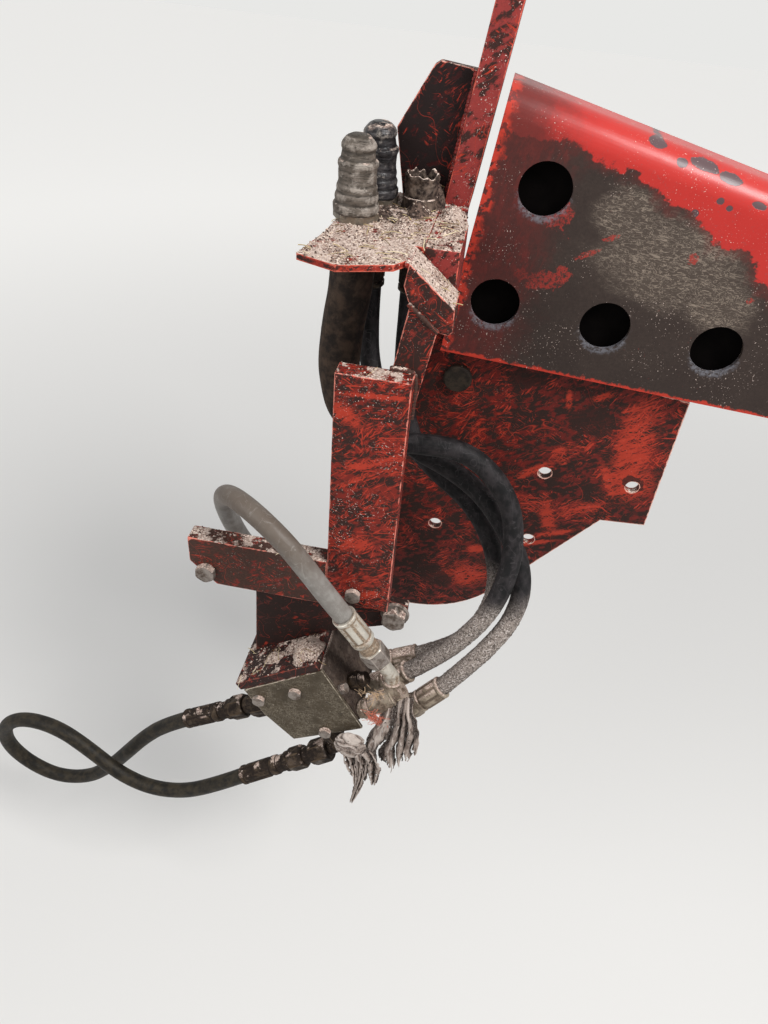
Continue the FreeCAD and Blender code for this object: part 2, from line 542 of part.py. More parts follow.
# Cross adaptor with the mid hose's end
port_ys = [block_front_y + port_depth + i * port_pitch for i in range(3)]
ports = [on_block(block_right, port_down, y) for y in port_ys]
cross_start, cross_line = ports[0] + along * cross_root_l, block_aim(*cross_aim)
high_start, high_line = cross_start + cross_line * high_branch_at, block_aim(*high_branch_aim)
low_start, low_line = cross_start + cross_line * low_branch_at, block_aim(*low_branch_aim)
low_knuckle, low_out = low_start + low_line * low_branch_l, V(*low_aim).normalize()
cross, cross_end = stack(cross_start, cross_line, cross_neck + cross_body)
low_end, tip_cross = stack(low_knuckle, low_out, low_chain + [ferrule])
cross = fuse([rod(ports[0], along, cross_root_r, cross_root_l + cross_root_lap)] + cross
             + [rod(high_start, high_line, high_boss_r, high_boss_l), Part.makeSphere(low_branch_r, low_knuckle),
                rod(low_start, low_line, low_branch_r, low_branch_l)] + low_end)
save("end_outer", cross.cut(rod(cross_end, -cross_line, cross_hole_r, cross_hole_l)))

# The other hose ends on the block. The aim is where the hose leaves its ferrule
tip_mid = fitting("end_mid", ports[1], along, [stem, swivel], mid_aim, [ferrule])
tip_inner = fitting("end_inner", ports[2], along, [stem, swivel], inner_aim, [ferrule])
tip_loop_up = fitting("end_loop_up", on_block(*loop_up_at[:2], block_front_y + loop_up_at[2]), -along,
                      loop_up_first, -along, loop_chain + [loop_ferrule])
tip_loop_low = fitting("end_loop_low", on_block(*loop_low_at[:2], block_front_y + loop_low_at[2]), down,
                       loop_low_first, loop_low_aim, loop_low_nut + loop_chain + [loop_ferrule])
tip_grey_right = fitting("end_grey_right", high_start + high_line * high_boss_l, high_line,
                         [("round", grey_right_chain[0][1], high_branch_l - high_boss_l)], grey_right_aim,
                         grey_right_chain + [grey_ferrule])
tip_grey_left = fitting("end_grey_left", on_block(*grey_left_at[:2], block_front_y + grey_left_at[2]), V(0, 1, 0),
                        grey_left_first, grey_left_aim, grey_left_chain + [grey_ferrule])

# Hose ends under the shelf, below the rear coupler and the stub
up = V(0, 0, 1)
mouth_z = body_tail_z - ferrule_l - nut_l - stem_l
front_x, front_y = coupler_points["front"]
rear_x, rear_y = coupler_points["rear"]
for name, x, y in [("end_rear", rear_x, rear_y), ("end_stub", stub_x, stub_y)]:
    fitting(name, V(x, y, mouth_z), up, [], up, [ferrule, swivel, stem])


def tube(name, points, radius):
    """Straight runs joined by the largest tangent arcs that their runs allow."""
    pts = [V(*p) for p in points]
    edges = []
    radii = []
    cursor = pts[0]
    for before, point, after in zip(pts, pts[1:], pts[2:]):
        d_in, d_out = point - before, after - point
        turn = d_in.getAngle(d_out)
        reach = 0.45 * min(d_in.Length, d_out.Length)
        radii.append(reach / math.tan(turn / 2))
        start = point - d_in.normalize() * reach
        end = point + d_out.normalize() * reach
        towards = (d_out - d_in).normalize()
        middle = point + towards * (radii[-1] * (1 / math.cos(turn / 2) - 1))
        edges.append(Part.LineSegment(cursor, start).toShape())
        edges.append(Part.Arc(start, middle, end).toShape())
        cursor = end
    edges.append(Part.LineSegment(cursor, pts[-1]).toShape())
    path = Part.Wire(edges)
    circle = Part.Wire([Part.makeCircle(radius, pts[0], pts[1] - pts[0])])
    solid = path.makePipeShell([circle], True, False)
    share = solid.Volume / (math.pi * radius ** 2 * path.Length)
    print("   length %.0f, volume share %.4f, radii %s" % (path.Length, share, " ".join("%.0f" % r for r in radii)))
    save(name, solid)


# Rubber boot over the front coupler's hose, and the clip that holds it
sleeve_route = [(front_x, front_y, body_tail_z), (front_x, front_y, 325), (-205, -94, 268), (-207, -99, 212),
                (-186, -115, 164), (-137, -125, 146)]
tube("hose_sleeve", sleeve_route, sleeve_r)
clip_in = sleeve_r + clip_gap
clip_z = body_tail_z - clip_drop
clip = turned([(clip_in, clip_z), (clip_in + clip_t, clip_z), (clip_in + clip_t, clip_z + clip_w),
               (clip_in, clip_z + clip_w)], front_x, front_y)
screw_start = V(front_x - screw_l / 2, front_y - clip_in - screw_r, clip_z + clip_w / 2)
screw = rod(screw_start, V(1, 0, 0), screw_r, screw_l)
hollow = rod(V(front_x, front_y, clip_z - screw_r), up, clip_in, clip_w + 2 * screw_r)
save("sleeve_clip", clip.fuse(screw.cut(hollow)))

# Hose routes, point by point from one end to the other
tube("hose_outer", [sleeve_route[-1], (-94, -127, 151), (-50, -123, 150), (-7, -121, 124), (27, -127, 78),
                    (40, -142, 21), (35, -163, -26), (20, -179, -67), (-7, -187, -111), (-34, -190, -148),
                    tuple(tip_mid)], hose_r)
tube("hose_mid", [(rear_x, rear_y, mouth_z), (rear_x, rear_y, 250), (-178, -44, 198), (-152, -69, 150),
                  (-112, -88, 118), (-60, -92, 100), (-12, -96, 70), (23, -106, 32), (52, -124, -6),
                  (63, -147, -45), (53, -170, -81), (30, -190, -113), (5, -205, -144), tuple(tip_cross)], hose_r)
tube("hose_inner", [(stub_x, stub_y, mouth_z), (stub_x, stub_y, 250), (-135, -40, 198), (-129, -49, 146),
                    (-110, -56, 100), (-76, -62, 68), (-36, -69, 44), (0, -80, 8), (26, -99, -40),
                    (31, -120, -91), (12, -140, -135), (-18, -147, -170), tuple(tip_inner)], hose_r)
tube("hose_loop", [tuple(tip_loop_up), (-444, -213, -405), (-485, -210, -456), (-521, -207, -511),
                   (-560, -205, -569), (-612, -204, -627), (-678, -205, -646), (-731, -207, -610),
                   (-753, -211, -551), (-735, -216, -489), (-685, -222, -450), (-622, -229, -448),
                   (-569, -236, -484), (-523, -243, -522), (-470, -249, -536), (-411, -254, -520),
                   (-354, -259, -476), tuple(tip_loop_low)], side_r)
tube("hose_grey", [tuple(tip_grey_right), (-178, -254, 0), (-200, -258, 38), (-228, -256, 74), (-268, -240, 96),
                   (-306, -212, 93), (-330, -178, 62), (-338, -150, 14), (-330, -133, -38), (-310, -119, -90),
                   tuple(tip_grey_left)], grey_r)

# Rag: a limp closed form in front of the cross adaptor
rag_back_y, knot_back_y = port_ys[0] - rag_lift, cover_front_y - knot_gap
strips = slab([(ports[0].x + x, ports[0].z + z) for x, z in rag_corners], rag_back_y - rag_t, rag_back_y)
knot = slab([(ports[0].x + x, ports[0].z + z) for x, z in knot_corners], knot_back_y - knot_t, knot_back_y)
save("rag", strips.fuse(knot))
for name, point in {"cross": tip_cross, "mid": tip_mid, "inner": tip_inner, "loop up": tip_loop_up,
                    "loop low": tip_loop_low, "grey right": tip_grey_right, "grey left": tip_grey_left}.items():
    print("   hose mouth %-10s %7.1f %7.1f %7.1f" % (name, point.x, point.y, point.z))
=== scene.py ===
import bmesh
import bpy
import math
from mathutils import Matrix, Vector, noise
from mathutils.kdtree import KDTree


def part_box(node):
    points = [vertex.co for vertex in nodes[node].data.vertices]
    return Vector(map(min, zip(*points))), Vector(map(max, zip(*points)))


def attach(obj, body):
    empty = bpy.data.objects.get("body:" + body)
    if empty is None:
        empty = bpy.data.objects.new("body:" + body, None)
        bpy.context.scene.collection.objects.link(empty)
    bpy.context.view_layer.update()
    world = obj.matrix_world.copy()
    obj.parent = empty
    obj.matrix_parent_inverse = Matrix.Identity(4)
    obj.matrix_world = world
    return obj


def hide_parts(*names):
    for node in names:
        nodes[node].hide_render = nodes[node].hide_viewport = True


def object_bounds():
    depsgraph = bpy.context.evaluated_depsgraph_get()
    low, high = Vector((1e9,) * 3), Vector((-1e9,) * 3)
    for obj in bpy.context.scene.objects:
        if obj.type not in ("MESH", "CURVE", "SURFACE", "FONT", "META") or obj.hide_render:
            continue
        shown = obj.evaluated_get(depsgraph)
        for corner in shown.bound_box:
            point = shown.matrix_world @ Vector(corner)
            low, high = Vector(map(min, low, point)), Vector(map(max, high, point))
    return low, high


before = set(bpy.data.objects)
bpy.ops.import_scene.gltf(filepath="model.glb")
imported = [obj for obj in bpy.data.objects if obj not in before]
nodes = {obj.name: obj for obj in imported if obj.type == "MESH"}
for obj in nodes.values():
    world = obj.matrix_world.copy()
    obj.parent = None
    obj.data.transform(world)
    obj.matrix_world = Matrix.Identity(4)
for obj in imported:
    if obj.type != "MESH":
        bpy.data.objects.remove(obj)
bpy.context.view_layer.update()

# %% [markdown]
# # A loader mounting console with its hydraulic coupling station
#
# This lesson dresses a heavy steel console that carries a front loader on a farm tractor. Flat bars and
# plates hold a shelf with quick couplers, and hoses run from them to a valve block. The frame loaded above
# gives every rigid piece at its real size, in metres, with X forward, Y inwards and Z up. Each step first
# says what a piece is on the real object and how it could be made, then makes it.

# %% Who rides on what
MM = 0.001
CONSOLE = "console"

# %% [markdown]
# ## The camera
#
# The camera could be matched by eye, but that takes many renders and ends near the mark, not on it. It was
# worked out instead from edges that are parallel on the real console: the post and the strut give the
# upright direction, the shelf and the plate's edges the other two. Their vanishing points give three axes
# and a focal length.

# %% The camera
LENS, SENSOR = 27.04, 36.0
EYE = Vector((-0.0406, -0.8955, 0.6627))
EYE_RIGHT = Vector((0.98125, 0.17782, 0.07434))
EYE_UP = Vector((-0.16914, 0.60958, 0.77447))
EYE_BACK = EYE_RIGHT.cross(EYE_UP)
camera_data = bpy.data.cameras.new("camera")
camera_data.lens = LENS
camera_data.sensor_width = SENSOR
camera_data.clip_start = 0.01
camera = bpy.data.objects.new("camera", camera_data)
bpy.context.scene.collection.objects.link(camera)
axes = Matrix((EYE_RIGHT, EYE_UP, EYE_BACK)).transposed()
camera.matrix_world = Matrix.Translation(EYE) @ axes.to_4x4()
bpy.context.scene.camera = camera
print("camera looks down at", round(math.degrees(math.asin(EYE_BACK.z)), 1), "degrees")

# %% [markdown]
# ## Small tools for meshes
#
# Blender's own cylinders and tubes know nothing of crimped flutes or uneven walls, so points and faces are
# written out here. `add_mesh` turns them into an object at the origin. `sweep` draws a tube along a line
# and gives it a UV map, once round and once along, so that a pattern can follow the rubber. `lathe` builds
# what a lathe or a milling machine makes: rings of points along an axis, round or six-sided. `wall_faces`
# joins the rings of both, and `stands_for` gives a finished piece its finish and its body and hides the
# solid it replaces.


# %% Meshes from points
def add_mesh(name, points, faces, smooth=True):
    mesh = bpy.data.meshes.new(name)
    mesh.from_pydata([tuple(p) for p in points], [], faces)
    mesh.polygons.foreach_set("use_smooth", [smooth] * len(mesh.polygons))
    mesh.update()
    piece = bpy.data.objects.new(name, mesh)
    bpy.context.scene.collection.objects.link(piece)
    return piece


def wall_faces(rings, sides, outwards=True):
    """Faces between closed rings of points that follow each other, and one over each end."""
    faces = []
    for i in range(rings - 1):
        for k in range(sides):
            a, b = i * sides + k, i * sides + (k + 1) % sides
            faces.append((a, b, b + sides, a + sides) if outwards else (a, a + sides, b + sides, b))
    first, last = range(sides), range((rings - 1) * sides, rings * sides)
    if outwards:
        return faces + [tuple(reversed(first)), tuple(last)]
    return faces + [tuple(first), tuple(reversed(last))]


def store(piece, name, values):
    """Gives each point of a piece a number, for its finish to read."""
    piece.data.attributes.new(name, "FLOAT", "POINT").data.foreach_set("value", values)


def wobble(*place):
    """Smooth noise, about -1 to 1, at a place given by three numbers."""
    return noise.noise(Vector(place))


def stands_for(piece, node, finish, body=CONSOLE):
    """Gives a piece its finish and its body, and hides the solid whose place it takes."""
    piece.data.materials.append(finish)
    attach(piece, body)
    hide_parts(node)
    return piece


def foot_of(node):
    """The middle of a solid's underside."""
    low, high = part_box(node)
    return Vector(((low.x + high.x) / 2, (low.y + high.y) / 2, low.z))


def plain_mesh(holder, name):
    """The evaluated object as a mesh of its own; the helper object goes."""
    graph = bpy.context.evaluated_depsgraph_get()
    mesh = bpy.data.meshes.new_from_object(holder.evaluated_get(graph))
    bpy.data.objects.remove(holder)
    mesh.name = name
    return mesh


# %% A smooth line through a route
def lengths_along(line):
    """Length so far at each point of a line."""
    marks = [0.0]
    for a, b in zip(line, line[1:]):
        marks.append(marks[-1] + (b - a).length)
    return marks


def centreline(route, spacing):
    """Evenly spaced points along the NURBS spline whose control points are the route."""
    curve = bpy.data.curves.new("route", "CURVE")
    curve.dimensions = "3D"
    spline = curve.splines.new("NURBS")
    spline.points.add(len(route) - 1)
    for point, place in zip(spline.points, route):
        point.co = (*place, 1.0)
    spline.order_u = 3
    spline.use_endpoint_u = True
    spline.resolution_u = 16
    holder = bpy.data.objects.new("route", curve)
    bpy.context.scene.collection.objects.link(holder)
    bpy.context.view_layer.update()
    mesh = plain_mesh(holder, "route")
    fine = [v.co.copy() for v in mesh.vertices]
    marks = lengths_along(fine)
    count = max(2, round(marks[-1] / spacing))
    line = []
    at = 0
    for i in range(count + 1):
        want = marks[-1] * i / count
        while at < len(fine) - 2 and marks[at + 1] < want:
            at += 1
        share = (want - marks[at]) / max(marks[at + 1] - marks[at], 1e-9)
        line.append(fine[at].lerp(fine[at + 1], min(share, 1.0)))
    return line


def frames_along(line):
    """A direction and two turned-along side vectors for each point of a line."""
    rows = []
    side = None
    for i, point in enumerate(line):
        ahead = (line[min(i + 1, len(line) - 1)] - line[max(i - 1, 0)]).normalized()
        if side is None:
            side = ahead.orthogonal().normalized()
        side = (side - ahead * side.dot(ahead)).normalized()
        rows.append((point, ahead, side, ahead.cross(side)))
    return rows


def sweep(name, line, radius, sides=28):
    """Tube along a line. The radius is a number or a function of length so far and angle."""
    points, marks = [], lengths_along(line)
    for (place, ahead, across, over), mark in zip(frames_along(line), marks):
        for k in range(sides):
            angle = 2 * math.pi * k / sides
            r = radius(mark, angle) if callable(radius) else radius
            points.append(place + (across * math.cos(angle) + over * math.sin(angle)) * r)
    piece = add_mesh(name, points, wall_faces(len(line), sides))
    along = piece.data.uv_layers.new(name="along")
    for face in piece.data.polygons:
        for corner in face.loop_indices:
            v = piece.data.loops[corner].vertex_index
            turn = (v % sides) / sides
            if turn == 0.0 and any(piece.data.loops[c].vertex_index % sides == sides - 1
                                   for c in face.loop_indices):
                turn = 1.0
            along.data[corner].uv = (turn, marks[v // sides])
    return piece


# %% Turned and milled forms
FLUTE_DEPTH, FLUTES, GROOVE_DEPTH = 0.10, 8, 0.0015


def ring_radius(form, size, angle):
    """Distance from the axis at an angle: round, six-sided, or fluted by a crimping press."""
    if form == "hex":
        sixth = math.pi / 3
        return size / math.cos((angle % sixth) - sixth / 2)
    if form == "flute":
        return size * (1.0 - FLUTE_DEPTH * (0.5 + 0.5 * math.cos(FLUTES * angle)) ** 3)
    return size


def ring_relief(rows, i, r):
    """From -1 in a groove to 1 on a nut's corner, for a point of row i at distance r from the axis."""
    form, size = rows[i][1:3]
    if form == "hex":
        return (r / size - 1.0) / (2 / math.sqrt(3) - 1.0)
    if form == "flute":
        return -(1.0 - r / size) / FLUTE_DEPTH
    before = max([row[2] for row in rows[max(0, i - 3):i]], default=0.0)
    after = max([row[2] for row in rows[i + 1:i + 4]], default=0.0)
    return -min(1.0, max(0.0, min(before, after) - size) / GROOVE_DEPTH)


def lathe(start, aim, rows, sides=48, turn=0.0):
    """Points, faces and relief of rings along an axis. A row is (distance, form, size, limit): a six-sided
    ring is cut to the limit, as a nut's corners are chamfered."""
    aim = aim.normalized()
    across = aim.orthogonal().normalized()
    over = aim.cross(across)
    points, relief = [], []
    for row, (distance, form, size, limit) in enumerate(rows):
        for k in range(sides):
            angle = 2 * math.pi * k / sides
            r = min(ring_radius(form, size, angle + turn), limit)
            points.append(start + aim * distance + (across * math.cos(angle) + over * math.sin(angle)) * r)
            relief.append(ring_relief(rows, row, r))
    return points, wall_faces(len(rows), sides), relief


def joined(name, parts):
    """One object from several lists of points, faces and relief."""
    points, faces, relief = [], [], []
    for more_points, more_faces, more_relief in parts:
        base = len(points)
        points += more_points
        faces += [tuple(base + i for i in face) for face in more_faces]
        relief += more_relief
    piece = add_mesh(name, points, faces)
    store(piece, "relief", relief)
    return piece


def auto_smooth(piece, degrees=35):
    """Smooth faces, with the edges sharper than an angle kept crisp."""
    mesh = bmesh.new()
    mesh.from_mesh(piece.data)
    for edge in mesh.edges:
        edge.smooth = not (edge.is_manifold and edge.calc_face_angle(0) > math.radians(degrees))
    mesh.to_mesh(piece.data)
    mesh.free()
    return piece


print("mesh helpers ready")

# %% [markdown]
# ## Sums on sockets
#
# A finish is a small sum: dirt where a surface looks up, bright metal near an edge, dull grease elsewhere.
# Written as node links it takes many lines, so `Tone` wraps a socket and turns Python's + - * into Math
# nodes. `Finish` holds one material and adds any other node with one method.


# %% Sockets that can be added and multiplied
class Tone:
    """One output socket of a finish."""

    def __init__(self, finish, socket):
        self.finish = finish
        self.socket = socket

    def sum(self, operation, other, turned=False):
        pair = (other, self) if turned else (self, other)
        return self.finish.node("ShaderNodeMath", {"operation": operation}, {0: pair[0], 1: pair[1]})

    def __add__(self, other):
        return self.sum("ADD", other)

    def __radd__(self, other):
        return self.sum("ADD", other, True)

    def __sub__(self, other):
        return self.sum("SUBTRACT", other)

    def __rsub__(self, other):
        return self.sum("SUBTRACT", other, True)

    def __mul__(self, other):
        return self.sum("MULTIPLY", other)

    def __rmul__(self, other):
        return self.sum("MULTIPLY", other, True)

    def most(self, other):
        return self.sum("MAXIMUM", other)


def colour(red, green, blue):
    """A colour written as it shows on a screen, 0 to 255, as the linear one that a shader wants."""
    shares = [c / 255 for c in (red, green, blue)]
    return tuple(c / 12.92 if c <= 0.04045 else ((c + 0.055) / 1.055) ** 2.4 for c in shares) + (1.0,)


def shade(tint, times, lift=0.0):
    """A darker or lighter kind of a colour."""
    return tuple(min(1.0, times * c + lift) for c in tint[:3]) + (1.0,)


# %% One material and its nodes
DULL_SHINE = 0.22


class Finish:
    """A node-based material under way."""

    def __init__(self, name):
        self.material = bpy.data.materials.new(name)
        self.material.use_nodes = True
        self.tree = self.material.node_tree
        self.tree.nodes.clear()
        self.place = self.node("ShaderNodeTexCoord", {}, {}, "Object")
        self.normal = self.node("ShaderNodeNewGeometry", {}, {}, "Normal")

    def node(self, kind, settings, sockets, out=0):
        made = self.tree.nodes.new(kind)
        for key, value in settings.items():
            setattr(made, key, value)
        for key, value in sockets.items():
            if isinstance(value, Tone):
                self.tree.links.new(value.socket, made.inputs[key])
            else:
                made.inputs[key].default_value = value
        return Tone(self, made.outputs[out])

    def noise(self, scale, detail=4.0, rough=0.6, at=None, bend=0.0):
        return self.node("ShaderNodeTexNoise", {"noise_dimensions": "3D"},
                         {"Vector": at or self.place, "Scale": scale, "Detail": detail, "Roughness": rough,
                          "Distortion": bend})

    def stretched(self, scales, turn=(0.0, 0.0, 0.0), at=None):
        return self.node("ShaderNodeMapping", {},
                         {"Vector": at or self.place, "Scale": scales, "Rotation": turn})

    def drawn(self, scale, stretch, rise, detail=3.0, bend=0.0):
        """Noise drawn out along a direction that rises by so many degrees across the console's side."""
        turned = self.node("ShaderNodeMapping", {"vector_type": "TEXTURE"},
                           {"Vector": self.place, "Rotation": (0.0, -math.radians(rise), 0.0),
                            "Scale": (stretch, 1.0, 1.0)})
        return self.noise(scale, detail, 0.6, turned, bend)

    def spot(self, x, z, wide, tall, rise=0.0):
        """An oval at a place on the side, in millimetres: 1 in its middle, half at its rim, 0 beyond."""
        inside = self.node("ShaderNodeMapping", {"vector_type": "TEXTURE"},
                           {"Vector": self.place, "Location": (x * MM, 0.0, z * MM),
                            "Rotation": (0.0, -math.radians(rise), 0.0),
                            "Scale": (wide * MM / 2, 20.0, tall * MM / 2)})
        reach = self.node("ShaderNodeVectorMath", {"operation": "LENGTH"}, {0: inside}, "Value")
        return self.band(reach, 1.6, 0.4)

    def spots(self, rows, torn=None, strength=1.5):
        """Several ovals as one mask. A noise, if given, tears their rims."""
        total = None
        for row in rows:
            one = self.spot(*row)
            total = one if total is None else total.most(one)
        if torn is None:
            return total
        return self.band(total + (torn - 0.5) * strength, 0.44, 0.58)

    def crumbs(self, scale, out="Distance"):
        """Small cells, as crumbs of dirt have: the distance from each one's middle, or its colour."""
        return self.node("ShaderNodeTexVoronoi", {"feature": "F1"}, {"Vector": self.place, "Scale": scale}, out)

    def cells(self, scale):
        """A random value for each small cell."""
        return self.part("X", self.crumbs(scale, "Color"))

    def part(self, axis, of=None):
        return self.node("ShaderNodeSeparateXYZ", {}, {0: of or self.place}, "XYZ".index(axis))

    def band(self, value, low, high):
        """Goes smoothly from 0 at low to 1 at high; low may be the larger one."""
        return self.node("ShaderNodeMapRange", {"interpolation_type": "SMOOTHSTEP", "clamp": True},
                         {0: value, 1: low, 2: high, 3: 0.0, 4: 1.0})

    def mix(self, share, a, b):
        return self.node("ShaderNodeMix", {"data_type": "RGBA", "clamp_factor": True},
                         {0: share, 6: a, 7: b}, 2)

    def lines(self, scale, width, at=None, bend=0.6):
        """Thin wandering lines: the places where a noise crosses its middle."""
        middle = self.noise(scale, 2.0, 0.5, at, bend) - 0.5
        away = self.node("ShaderNodeMath", {"operation": "ABSOLUTE"}, {0: middle})
        return self.band(away, width, 0.0)

    def attribute(self, name):
        return self.node("ShaderNodeAttribute", {"attribute_name": name}, {}, "Fac")

    def done(self, base, rough, metal=0.0, height=None, depth=0.001, strength=1.0, extra=None):
        sockets = {"Base Color": base, "Roughness": rough, "Metallic": metal, "Specular IOR Level": DULL_SHINE}
        sockets.update(extra or {})
        if height is not None:
            sockets["Normal"] = self.node("ShaderNodeBump", {}, {"Height": height, "Distance": depth,
                                                                "Strength": strength})
        shader = self.node("ShaderNodeBsdfPrincipled", {}, sockets)
        last = self.tree.nodes.new("ShaderNodeOutputMaterial")
        self.tree.links.new(shader.socket, last.inputs[0])
        return self.material


print("finishes can be written as sums")

# %% [markdown]
# ## Five hoses
#
# A hydraulic hose is stiff rubber over wire braid, and it keeps wide bends. It could be bent by a
# simulation, but both its ends are fixed and its route shows, so each hose here is one NURBS spline whose
# control points are its route in millimetres, from one end to the other. The lines come first, because
# their length and bends decide whether the console looks right.

# %% Routes
HOSE_ROUTES = {
    "hose_outer": [(-137, -125, 146), (-94, -127, 151), (-50, -123, 150), (-7, -121, 124),
                   (27, -127, 78), (40, -142, 21), (35, -163, -26), (20, -179, -67), (-7, -187, -111),
                   (-34, -190, -148), (-68.9, -193.6, -182.8)],
    "hose_mid": [(-186, -30, 299), (-186, -30, 250), (-178, -44, 198), (-152, -69, 150),
                 (-112, -88, 118), (-60, -92, 100), (-12, -96, 70), (23, -106, 32), (52, -124, -6),
                 (63, -147, -45), (53, -170, -81), (30, -190, -113), (5, -205, -144),
                 (-19.4, -212.6, -179.5)],
    "hose_inner": [(-137, -32, 299), (-137, -32, 250), (-135, -40, 198), (-129, -49, 146),
                   (-110, -56, 100), (-76, -62, 68), (-36, -69, 44), (0, -80, 8), (26, -99, -40),
                   (31, -120, -91), (12, -140, -135), (-18, -147, -170), (-60.9, -150.8, -194.7)],
    "hose_loop": [(-398.6, -215, -369.7), (-444, -213, -405), (-485, -210, -456), (-521, -207, -511),
                  (-560, -205, -569), (-612, -204, -627), (-678, -205, -646), (-731, -207, -610),
                  (-753, -211, -551), (-735, -216, -489), (-685, -222, -450), (-622, -229, -448),
                  (-569, -236, -484), (-523, -243, -522), (-470, -249, -536), (-411, -254, -520),
                  (-354, -259, -476), (-297.5, -254.4, -429.8)],
    "hose_grey": [(-155.7, -249.4, -36.6), (-178, -254, 0), (-200, -258, 38), (-228, -256, 74),
                  (-268, -240, 96), (-306, -212, 93), (-330, -178, 62), (-338, -150, 14),
                  (-330, -133, -38), (-310, -119, -90), (-284, -110.2, -142.7)],
}
HOSE_RADIUS = {"hose_outer": 0.013, "hose_mid": 0.013, "hose_inner": 0.013, "hose_loop": 0.012,
               "hose_grey": 0.013}

# %% Hose bodies
RING_STEP, FINE_STEP = 0.003, 0.0015
GRITTY = ("hose_outer", "hose_mid", "hose_inner")
GRIT_TOP, GRIT_FADE, GRIT_THICK = -0.030, 0.045, 0.0011
COARSE, FINE = 430.0, 900.0
WALL_SWELL, WALL_INSET = 0.012, 0.00015
NAME_SHIFT = 0.37


def hose_skin(name, line, step):
    """Girth of a used hose: a slightly uneven wall, and grains of grit stuck to its lower stretch."""
    base = HOSE_RADIUS[name]
    shift = Vector((sum(map(ord, name)) * NAME_SHIFT, 0.0, 0.0))

    def girth(along, angle):
        spot = Vector((math.cos(angle), math.sin(angle), along * 30.0)) + shift
        r = base * (1.0 + WALL_SWELL * noise.noise(spot * 1.3)) - WALL_INSET
        if name in GRITTY:
            place = line[min(round(along / step), len(line) - 1)]
            coat = min(1.0, max(0.0, (GRIT_TOP - place.z) / GRIT_FADE))
            if coat > 0.0:
                round_it = Vector((math.cos(angle) * base, math.sin(angle) * base, along))
                grain = noise.noise(round_it * COARSE + shift) + 0.5 * noise.noise(round_it * FINE + shift)
                r += coat * GRIT_THICK * (min(0.8, max(-0.1, grain + 0.1)) - 0.8)
        return r
    return girth


hoses, hose_lines = {}, {}
for name, route in HOSE_ROUTES.items():
    route = [Vector(place) * MM for place in route]
    step = FINE_STEP if name in GRITTY else RING_STEP
    hose_lines[name] = centreline(route, step)
    hoses[name] = sweep(name + "_rubber", hose_lines[name], hose_skin(name, hose_lines[name], step), 40)
    print(name, "is", round(lengths_along(hose_lines[name])[-1] / MM), "mm long on its smooth line")

# %% [markdown]
# ## Finishes
#
# Years of oil, soot and chaff lie on red paint. Three layers tell the story: deep red paint, a greasy
# brown-black film that breaks up in patches, and scratches where straw and tools rubbed the film away and
# the paint shows bright. A painted texture could hold all that, but masks made of noise stay sharp from any
# distance and need no image. Chaff and dust lie on whatever looks up. The edge of a bar is rubbed bare, so
# each plate carries an attribute, its distance to the nearest sharp edge, for the finish to read.

# %% Colours of this console
MID_RED = colour(126, 37, 27)
BRIGHT_RED = colour(192, 62, 40)
GLOSS_RED = colour(180, 45, 39)
FILM = colour(46, 33, 27)
SOOT = colour(28, 22, 20)
RUBBED = colour(214, 194, 182)
CHAFF_PALE = colour(222, 204, 190)
CHAFF_MID = colour(166, 142, 130)
CHAFF_DARK = colour(84, 66, 58)
EDGE_SPAN = 0.0042
CHAFF_GRAIN = 640.0


# %% Layers that several finishes share
def chaff_layer(f, base, rough, amount, from_up=0.45):
    """Chaff and dust on what looks up, over a base colour and its roughness."""
    looks_up = f.band(f.part("Z", f.normal), from_up, from_up + 0.35)
    clumps = f.noise(60.0, 5.0, 0.65)
    cover = looks_up * f.band(clumps, 0.62 - 0.35 * amount, 0.68 - 0.35 * amount)
    crumbs, lot = f.crumbs(CHAFF_GRAIN), f.cells(CHAFF_GRAIN)
    tint = f.mix(f.band(crumbs + lot * 0.5, 0.25, 0.85), CHAFF_DARK, CHAFF_MID)
    tint = f.mix(f.band(lot + f.noise(520.0, 2.0) * 0.4, 0.75, 0.95), tint, CHAFF_PALE)
    smooth = f.band(f.noise(34.0, 4.0, 0.6), 0.42, 0.60)
    tint = f.mix(smooth * 0.62, tint, f.mix(f.noise(150.0, 3.0), CHAFF_MID, CHAFF_PALE))
    return f.mix(cover, base, tint), rough + cover * (0.95 - rough), cover * crumbs


def flecks(f, base, amount):
    """Pale dry specks stuck to the greasy film."""
    spots = f.band(f.noise(620.0, 1.0, 0.4), 0.74 - 0.06 * amount, 0.80 - 0.06 * amount)
    where = f.band(f.noise(22.0, 2.0), 0.42, 0.62)
    return f.mix(spots * where * amount, base, RUBBED)


def edge_wear(f, base, tint, reach=1.0):
    """Paint rubbed off near sharp edges, in broken stretches."""
    closeness = f.band(f.attribute("edge"), EDGE_SPAN * reach, 0.0)
    broken = f.band(closeness + f.noise(110.0, 4.0, 0.65) * 1.1, 1.26, 1.42)
    return f.mix(broken * 0.85, base, tint), broken


# %% Worn red paint
# rise in degrees, how drawn out, scale
STROKES = [(38.0, 10.0, 520.0), (66.0, 8.0, 460.0), (8.0, 12.0, 560.0), (-28.0, 8.0, 500.0)]


def brushed(f, amount, more=None):
    """Short curved strokes in several directions, each kind in its own clusters, closer where more says so."""
    total = None
    closer = 0.0 if more is None else more * 0.040
    for rise, stretch, scale in STROKES:
        strokes = f.band(f.drawn(scale, stretch, rise, 2.5, 0.35) + closer, 0.565, 0.62)
        cluster = f.band(f.noise(24.0 + rise / 9.0, 3.0, 0.6), 0.60 - 0.16 * amount, 0.68 - 0.16 * amount)
        if more is not None:
            cluster = cluster.most(more)
        total = strokes * cluster if total is None else total.most(strokes * cluster)
    return total


